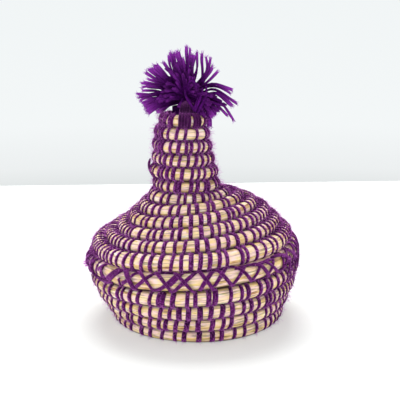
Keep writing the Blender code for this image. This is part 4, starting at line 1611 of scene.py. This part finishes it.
crown_right = lid_rings(0.0)[0]
crown_left = lid_rings(math.pi)[0]
crown_middle = Vector(((crown_right[0] - crown_left[0]) / 2, 0, (crown_right[1] + crown_left[1]) / 2))
stalk_from = crown_middle + Vector((0, 0, NECK_STRAW + KNOB_RISE))
tassel_middle = LID_PLACE @ stalk_from
depth = tassel_middle.y


def picture_path(pixels, depths):
    """Points that show at pixels, each at its own depth."""
    return np.array([facing_point(across, down, y) for (across, down), y in zip(pixels, depths)])


def tassel_strand(pixels, tip_depth):
    """A strand from the tied middle through pixels to its tip. The first pixel is the tip."""
    aside, above = chance.uniform(-1, 1, 2)
    root = (TASSEL_ROOT[0] + aside * STALK_SPREAD, TASSEL_ROOT[1])
    middle = (TASSEL_MIDDLE[0] + aside * MIDDLE_SPREAD, TASSEL_MIDDLE[1] + above * MIDDLE_SPREAD)
    way = [root, middle, *reversed(pixels)]
    depths = depth + np.linspace(0, 1, len(way)) ** TIP_DEPTH_EASE * tip_depth
    path = smoothed(picture_path(way, depths))
    shares = np.linspace(0, 1, len(path))[:, None]
    sway = unit(chance.normal(size=3)) * chance.uniform(*SWAY_RANGE)
    waves = shares * chance.uniform(*SWAY_WAVES) + chance.uniform(*SWAY_STARTS)
    path = path + sway * np.sin(waves) * shares
    radius = PLY_RADIUS * chance.uniform(*RADIUS_RANGE)
    facing = chance.normal(size=3)
    return laid(path, facing, radius * chance.uniform(*WIDENING_RANGE), radius * FLATTENING, STRAND_ENDS)


def tassel_lock(width, pixels, tip_depth):
    """Strands side by side, as wide as the lock is in pixels at its tip and closer together below."""
    count = max(2, round(width / (STRAND_SPACING * PLY_PIXELS)))
    way = np.array(pixels[0]) - pixels[1]
    way = way / np.linalg.norm(way)
    aside = np.array((-way[1], way[0]))
    found = []
    for place in np.linspace(-0.5, 0.5, count):
        off = aside * place * max(0.0, width - PLY_PIXELS)
        moved = [np.array(pixel) + off * share for pixel, share in zip(pixels, PLY_SPREAD)]
        moved[0] = moved[0] + way * chance.uniform(*TIP_SHORTENING)
        found.append(tassel_strand(moved, tip_depth + chance.uniform(*TIP_DEPTH_JITTER)))
    return found


# %% All locks of the tassel
TASSEL_FILL = 230
FRONT_REACH = 0.008
FRONT_REACH_RANGE = (0.8, 1.1)
OUTER_DEPTHS = (-0.009, 0.011)
FORWARD_SHARE = 0.62
BACKWARD_SHARE = 0.95
FRONT_LENGTH = 0.8
GOLDEN_SHARE = 0.618034
FIRST_FILL = 0.3
FILL_LENGTH_RANGE = (0.55, 1.0)
FILL_WIDTH = 3
DROOP = 0.3
LEFT_DROP = 1.5
SAG = 2.2
KNEE_ACROSS = 0.55
KNEE_DOWN = 0.6
HOLLOW_MIDDLE = (178, 91)
HOLLOW_HALF = (11, 17)
HOLLOW_DEPTH = 0.3
PIXEL_SIZE = 0.00064
# Painted shade: strands darken towards the tied middle; inner ones darken more, by a random share, and get
# fainter pale tips.
ROOT_SHADE = ((0, 0.4, 0.65, 0.85), (0.9, 0.75, 0.3, 0))
TIP_SHADE = ((0, 0.62, 0.85, 1.0), (0, 0.05, 0.35, 0.8))
INNER_SHADE = 0.15
INNER_VARIATION = (0.2, 2.8)
INNER_TIPS = 0.45

strands = []
for width, *pixels in TASSEL_SEEN:
    strands += tassel_lock(width, pixels, chance.uniform(*OUTER_DEPTHS))
outer_count = len(strands)
for width, *pixels in TASSEL_FRONT:
    strands += tassel_lock(width, pixels, -FRONT_REACH * chance.uniform(*FRONT_REACH_RANGE))
reach_angles, reach_lengths = zip(*TASSEL_REACH)
for number in range(TASSEL_FILL):
    angle = lerp(reach_angles[0], reach_angles[-1], (number * GOLDEN_SHARE + FIRST_FILL) % 1.0)
    depth_share = lerp(-FORWARD_SHARE, BACKWARD_SHARE, (number + 0.5) / TASSEL_FILL)
    length = np.interp(angle, reach_angles, reach_lengths) * chance.uniform(*FILL_LENGTH_RANGE)
    if depth_share < 0:
        length *= lerp(1, FRONT_LENGTH, -depth_share / FORWARD_SHARE)
    flat_length = length * math.sqrt(1 - depth_share**2)
    across = math.cos(math.radians(angle)) * flat_length
    down = -math.sin(math.radians(angle)) * flat_length + DROOP * length * depth_share**2
    down = min(down, LEFT_DROP) if across < 0 else down
    tip = (TASSEL_MIDDLE[0] + across, TASSEL_MIDDLE[1] + down + SAG)
    off_hollow = math.hypot(*((a - b) / half for a, b, half in zip(tip, HOLLOW_MIDDLE, HOLLOW_HALF)))
    if depth_share < HOLLOW_DEPTH and off_hollow < 1:
        continue
    knee = (TASSEL_MIDDLE[0] + across * KNEE_ACROSS, TASSEL_MIDDLE[1] + down * KNEE_DOWN - SAG)
    strands += tassel_lock(FILL_WIDTH, (tip, knee), depth_share * length * PIXEL_SIZE)
strand_shares = np.tile(strand_step / STRAND_CUTS, len(strands))
inner = np.repeat(np.arange(len(strands)) >= outer_count, len(strand_step))
tips = np.interp(strand_shares, *TIP_SHADE) * np.where(inner, INNER_TIPS, 1)
varied = np.repeat(chance.uniform(*INNER_VARIATION, len(strands)), len(strand_step))
shade = np.maximum(np.interp(strand_shares, *ROOT_SHADE), inner * varied * INNER_SHADE)
tassel_lines = np.array(strands)
print("the tassel has", outer_count, "outer strands and", len(strands) - outer_count, "inner ones")

# %% Loop, stalk and knot
LOOP_DEPTHS = (0.003, 0.009)
LOOP_FACING = (0, -1, 0.2)
LOOP_TAPER = ((0, 1), (0.6, 1))
LOOP_WIDE = 0.0011
LOOP_THICK = 0.0007
LOOP_SHADE = 0.1
STALK_ROOM = 0.0008
STALK_WIDENING = 1.2
STALK_LENGTH = 0.0145
STALK_SPACING = 1.7
STALK_SHADE = 0.5
KNOT_CATCH = 0.0015
KNOT_HEIGHT_SHARE = 0.55
KNOT_RINGS = ((-0.45, 0.62), (0.0, 0.76), (0.45, 0.62))
KNOT_YARN = 0.0013

for arm in TASSEL_LOOP:
    near, far = LOOP_DEPTHS
    depths = depth - np.interp(np.linspace(0, 1, len(arm)), (0, 0.5, 1), (near, far, far))
    path = smoothed(picture_path(arm, depths))
    strands.append(laid(path, LOOP_FACING, LOOP_WIDE, LOOP_THICK, LOOP_TAPER))
loop_points = np.full(len(TASSEL_LOOP) * len(strand_step), LOOP_SHADE)
hole = lid_rings(FRONT_ANGLE)[0][0] - NECK_STRAW
stalk_radius = hole - STALK_ROOM - PLY_RADIUS
stalk_count = round(math.tau * stalk_radius / (STALK_SPACING * PLY_RADIUS))
drawn_from = len(strands)
for angle in np.linspace(0, math.tau, stalk_count, endpoint=False):
    aside = around(stalk_radius, angle)
    ends = [LID_PLACE @ (stalk_from + aside - Vector((0, 0, along))) for along in (0, STALK_LENGTH)]
    facing = np.array(LID_PLACE.to_3x3() @ aside)
    strands.append(laid(smoothed(ends), facing, PLY_RADIUS * STALK_WIDENING, PLY_RADIUS))
knot_radius = hole + KNOT_CATCH
knot_height = knot_radius * KNOT_HEIGHT_SHARE
knot_middle = stalk_from - Vector((0, 0, STALK_LENGTH + knot_height))
for level, share in KNOT_RINGS:
    ring = np.array([
        LID_PLACE @ (knot_middle + around(share * knot_radius, angle, level * knot_height))
        for angle in np.linspace(0, math.tau, PATH_POINTS)
    ])
    strands.append(laid(ring, ring - ring[:-1].mean(axis=0), KNOT_YARN, KNOT_YARN))
# Painted shade: the stalk and knot inside the neck are darkened by half, the loop a little.
stalk_points = np.full((len(strands) - drawn_from) * len(strand_step), STALK_SHADE)
tips = np.concatenate([tips, loop_points, stalk_points * 0])
piece = add_strands("tassel_strands", "lid", "tassel", strands, tassel_wool, tips)
add_attribute(piece, "painted_shade", np.concatenate([shade, loop_points, stalk_points]))

# %% [markdown]
# ## Binding of the tassel
#
# The tassel is held by yarn that is wound over the front of the crown's turn, side by side. Each winding is
# a strand laid once round the straw, and a short tie runs over it from the tassel's middle. Stitches would do
# for the windings, but not for the ties, so both are laid in the same way.

# %% Binding
BINDING_PIXELS = (180, 183, 186, 189.4, 194.4, 197, 199.4)
BINDING_TURNS = (-0.1, 0.45)
BINDING_STEP = 0.0005
BINDING_LIFT = 0.0009
BINDING_WIDE = 0.0011
BINDING_THICK = 0.0009
TIE_WIDE = 0.0013
TIE_MIDDLE = 0.55
TIE_RISE = Vector((0, -0.001, 0.0012))
TIE_END = Vector((0, 0.002, 0.001))
TIE_START_BELOW = 3
TIE_START_FRONT = 0.002
TIE_FACING = (0, -1, 0.6)
# Painted shade under the tassel: ties darkened nearly to black, windings by half.
TIE_SHADE = 0.85
WINDING_SHADE = 0.5
crown_run = coil_run(lid_rings, *BINDING_TURNS, LID_PLACE, BINDING_STEP)
windings = []
for pixel, at in zip(BINDING_PIXELS, seen_places(crown_run, 0, BINDING_PIXELS)):
    middle, out, up = (at_distance(crown_run, key, np.array([at]))[0] for key in ("places", "out", "up"))
    slopes = np.linspace(0, math.tau, PATH_POINTS)[:, None] + math.pi
    facing = out * np.cos(slopes) + up * np.sin(slopes)
    windings.append(laid(middle + facing * (NECK_STRAW + BINDING_LIFT), facing, BINDING_WIDE, BINDING_THICK))
    top = Vector(middle + up * (NECK_STRAW + BINDING_LIFT))
    start_down = TASSEL_MIDDLE[1] + TIE_START_BELOW
    start = facing_point(lerp(TASSEL_MIDDLE[0], pixel, 0.5), start_down, depth - TIE_START_FRONT)
    tie = smoothed([start, start.lerp(top, TIE_MIDDLE) + TIE_RISE, top, top - TIE_END])
    windings.append(laid(tie, TIE_FACING, TIE_WIDE, BINDING_THICK))
piece = add_strands("tassel_windings", "lid", "tassel_binding", windings, purple_wool)
both_shades = np.repeat([WINDING_SHADE, TIE_SHADE], len(strand_step))
add_attribute(piece, "painted_shade", np.tile(both_shades, len(windings) // 2))

# %% [markdown]
# ## Loose ends
#
# One end of the sewing yarn comes out of a seam and stands along the left of the neck, with a small loop of
# it beside. A short frayed end sticks out at the left of the rim. They could be bent tubes of their own, but
# the strand that is already modelled is laid along them too.

# %% Loose ends
TAIL_RADIUS = 0.0010
THIN_TAIL_RADIUS = 0.00045
TAIL_DEPTH = -0.001
TAIL_LOOP_DEPTH = -0.003
TUFT_WIDE = 0.00055
TUFT_THICK = 0.0005
TUFT_SPACING = 0.0006
TOWARDS_CAMERA = (0, -1, 0)
TAIL_ENDS = ((0, 0.1, 0.85, 1.0), (0.7, 1.0, 0.9, 0.5))
NECK_TAIL = ((158.5, 181), (154.5, 177), (151, 172.5), (149, 167.5), (148.7, 163), (150.3, 158.5))
NECK_TAIL_LOOP = ((150, 168), (151, 164.5), (154, 163.2), (158, 165.5))
RIM_TUFT = (
    ((94, 262), (89, 260.8), (85.2, 258.2)),
    ((94, 263), (88.5, 262.6), (83.4, 261.4)),
    ((94, 264), (88.5, 263.6), (83.2, 263.6)),
    ((94, 264), (89, 264.8), (84.6, 266.2)),
    ((94, 262), (89.5, 260), (87, 256.8)),
    ((95, 263), (90, 262.4), (85, 260)),
)


def loose_end(pixels, depth_y, wide, thick):
    """A strand that shows at pixels, all at one depth."""
    path = smoothed(picture_path(pixels, [depth_y] * len(pixels)))
    return laid(path, TOWARDS_CAMERA, wide, thick, TAIL_ENDS)


tail = loose_end(NECK_TAIL, TAIL_DEPTH, TAIL_RADIUS, TAIL_RADIUS)
tail_loop = loose_end(NECK_TAIL_LOOP, TAIL_LOOP_DEPTH, THIN_TAIL_RADIUS, THIN_TAIL_RADIUS)
add_strands("loose_end_neck", "lid", "neck_yarn_tail", [tail, tail_loop], purple_wool)
rim_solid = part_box("rim_yarn_tail")
tuft_depth = (rim_solid[0][1] + rim_solid[1][1]) / 2
tuft = [
    loose_end(row, tuft_depth + TUFT_SPACING * number, TUFT_WIDE, TUFT_THICK)
    for number, row in enumerate(RIM_TUFT)
]
add_strands("loose_end_rim", "bowl", "rim_yarn_tail", tuft, loose_fibre)

# %% [markdown]
# ## Loose fibres
#
# Wool that is pulled through straw many times gets fuzzy. Its loose fibres make a pale purple halo, best
# seen where a turn is looked at along its edge. Sheen can't reach past the yarn's outline, so the longest
# fibres are modelled. A fibre is modelled once, as a thin rolled grid of a few faces, and bent for each copy.
# Its root lies on a stitch or a strand.

# %% Fibre model
FIBRE_CUTS = 2
FIBRE_SIDES = 3
FIBRE_RADIUS = 0.00008
fibre_model, fibre_shape = tube_model("fibre_model", FIBRE_CUTS, FIBRE_SIDES)


# %% Bent fibres
FIBRE_TAPER = 0.5
CURL_RANGE = (-0.8, 0.8)
FIBRE_CLEARANCE = 0.0001


def add_fibres(name, body, roots, ways, lengths, material=loose_fibre, radius=FIBRE_RADIUS):
    """Bent fibres that start at roots and set off along ways."""
    count = len(roots)
    ways = unit(ways)
    side = unit(np.cross(ways, unit(chance.normal(size=(count, 3)))))
    other = np.cross(ways, side)
    curl = side * chance.uniform(*CURL_RANGE, (count, 1)) + other * chance.uniform(*CURL_RANGE, (count, 1))
    shares = fibre_shape[None, :, 0:1]
    thick = radius * (1 - FIBRE_TAPER * shares)
    places = (
        roots[:, None, :]
        + ways[:, None, :] * lengths[:, None, None] * shares
        + curl[:, None, :] * lengths[:, None, None] * shares**2
        + side[:, None, :] * thick * fibre_shape[None, :, 1:2]
        + other[:, None, :] * thick * fibre_shape[None, :, 2:3]
    )
    places[..., 2] = np.maximum(places[..., 2], FIBRE_CLEARANCE)
    piece = add_copies(name, fibre_model, places, lengths)
    piece.data.materials.append(material)
    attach(piece, body)
    print(name, "has", count, "fibres")


# %% Fibres of the stitches
FIBRES_PER_STITCH = {"lid": 60, "bowl": 44}
OUTWARD_RISE = {"lid": 0.25, "bowl": -0.1}
INSIDE_SLOPE = 0.05
ROOT_LIFT = 0.0003
ROOT_JITTER = (-0.001, 0.001)
STITCH_SPRAY = 0.55
FIBRE_LONG = 0.0036
FIBRE_SHORT = 0.0009
SHORT_FIBRES = 1.6


def stitch_fibres(name):
    """Roots and ways of the fibres of one stretch, on the side that looks out of the basket."""
    run = runs[name]
    at = np.repeat(stitches[name], FIBRES_PER_STITCH[STRETCHES[name][4]])
    angle = chance.uniform(0, math.tau, len(at))
    out = unit(at_distance(run, "out", at))
    up = unit(at_distance(run, "up", at))
    way = out * np.cos(angle)[:, None] + up * np.sin(angle)[:, None]
    middle = at_distance(run, "places", at)
    outward = unit(middle * (1, 1, 0)) + np.array([0, 0, OUTWARD_RISE[STRETCHES[name][4]]])
    kept = (way * unit(outward)).sum(axis=1) > INSIDE_SLOPE
    ahead = at_distance(run, "ahead", at)
    straw = at_distance(run, "straw", at)[:, None]
    root = middle + way * (straw + ROOT_LIFT) + ahead * chance.uniform(*ROOT_JITTER, (len(at), 1))
    jitter = chance.normal(size=(len(at), 3)) * STITCH_SPRAY
    return root[kept], (way + jitter)[kept]


def fibre_lengths(count):
    return FIBRE_SHORT + (FIBRE_LONG - FIBRE_SHORT) * chance.uniform(0, 1, count) ** SHORT_FIBRES


for name in STRETCHES:
    if len(stitches[name]):
        roots, ways = stitch_fibres(name)
        add_fibres("fibres_" + name, STRETCHES[name][4], roots, ways, fibre_lengths(len(roots)))


# %% Fibres of the other yarn
FIBRES_PER_STRAND = 6
FIBRES_PER_CROSS = 18
FIBRES_PER_TIP = 10
STRAND_SPRAY = 0.5
TIP_SPRAY = 0.22
TIP_FIBRE_RADIUS = 0.00014
TASSEL_FIBRE_SHARE = 0.5
TIP_FIBRE_SHARE = 0.6


def picked_points(lines, count):
    """This many points of each line, picked by chance."""
    picks = chance.integers(0, lines.shape[1], (len(lines), count))
    return np.take_along_axis(lines, picks[..., None], axis=1).reshape(-1, 3)


lacing_lines = np.array([line for node in lacing for line, _ in lacing[node]])
roots = picked_points(lacing_lines, FIBRES_PER_CROSS)
ways = unit(roots * (1, 1, 0)) + chance.normal(size=roots.shape) * STRAND_SPRAY
add_fibres("fibres_rim", "bowl", roots, ways, fibre_lengths(len(roots)))

roots = picked_points(tassel_lines, FIBRES_PER_STRAND)
ways = unit(roots - np.array(tassel_middle)) + chance.normal(size=roots.shape) * STRAND_SPRAY
lengths = fibre_lengths(len(roots)) * TASSEL_FIBRE_SHARE
add_fibres("fibres_tassel", "lid", roots, ways, lengths, tassel_wool)
tips = tassel_lines[:outer_count, strand_step == STRAND_CUTS]
before_tips = tassel_lines[:outer_count, strand_step == STRAND_CUTS - 2]
roots = picked_points(tips, FIBRES_PER_TIP)
ways = np.repeat(unit(tips.mean(axis=1) - before_tips.mean(axis=1)), FIBRES_PER_TIP, axis=0)
ways = ways + chance.normal(size=roots.shape) * TIP_SPRAY
lengths = fibre_lengths(len(roots)) * TIP_FIBRE_SHARE
add_fibres("fibres_tassel_ends", "lid", roots, ways, lengths, tassel_ends, TIP_FIBRE_RADIUS)

# %% Finish
for model in (blank, fibre_model):
    bpy.data.objects.remove(model)
bpy.context.view_layer.update()
faces = sum(len(item.data.polygons) for item in bpy.data.objects if item.type == "MESH")
print("faces in all:", faces)
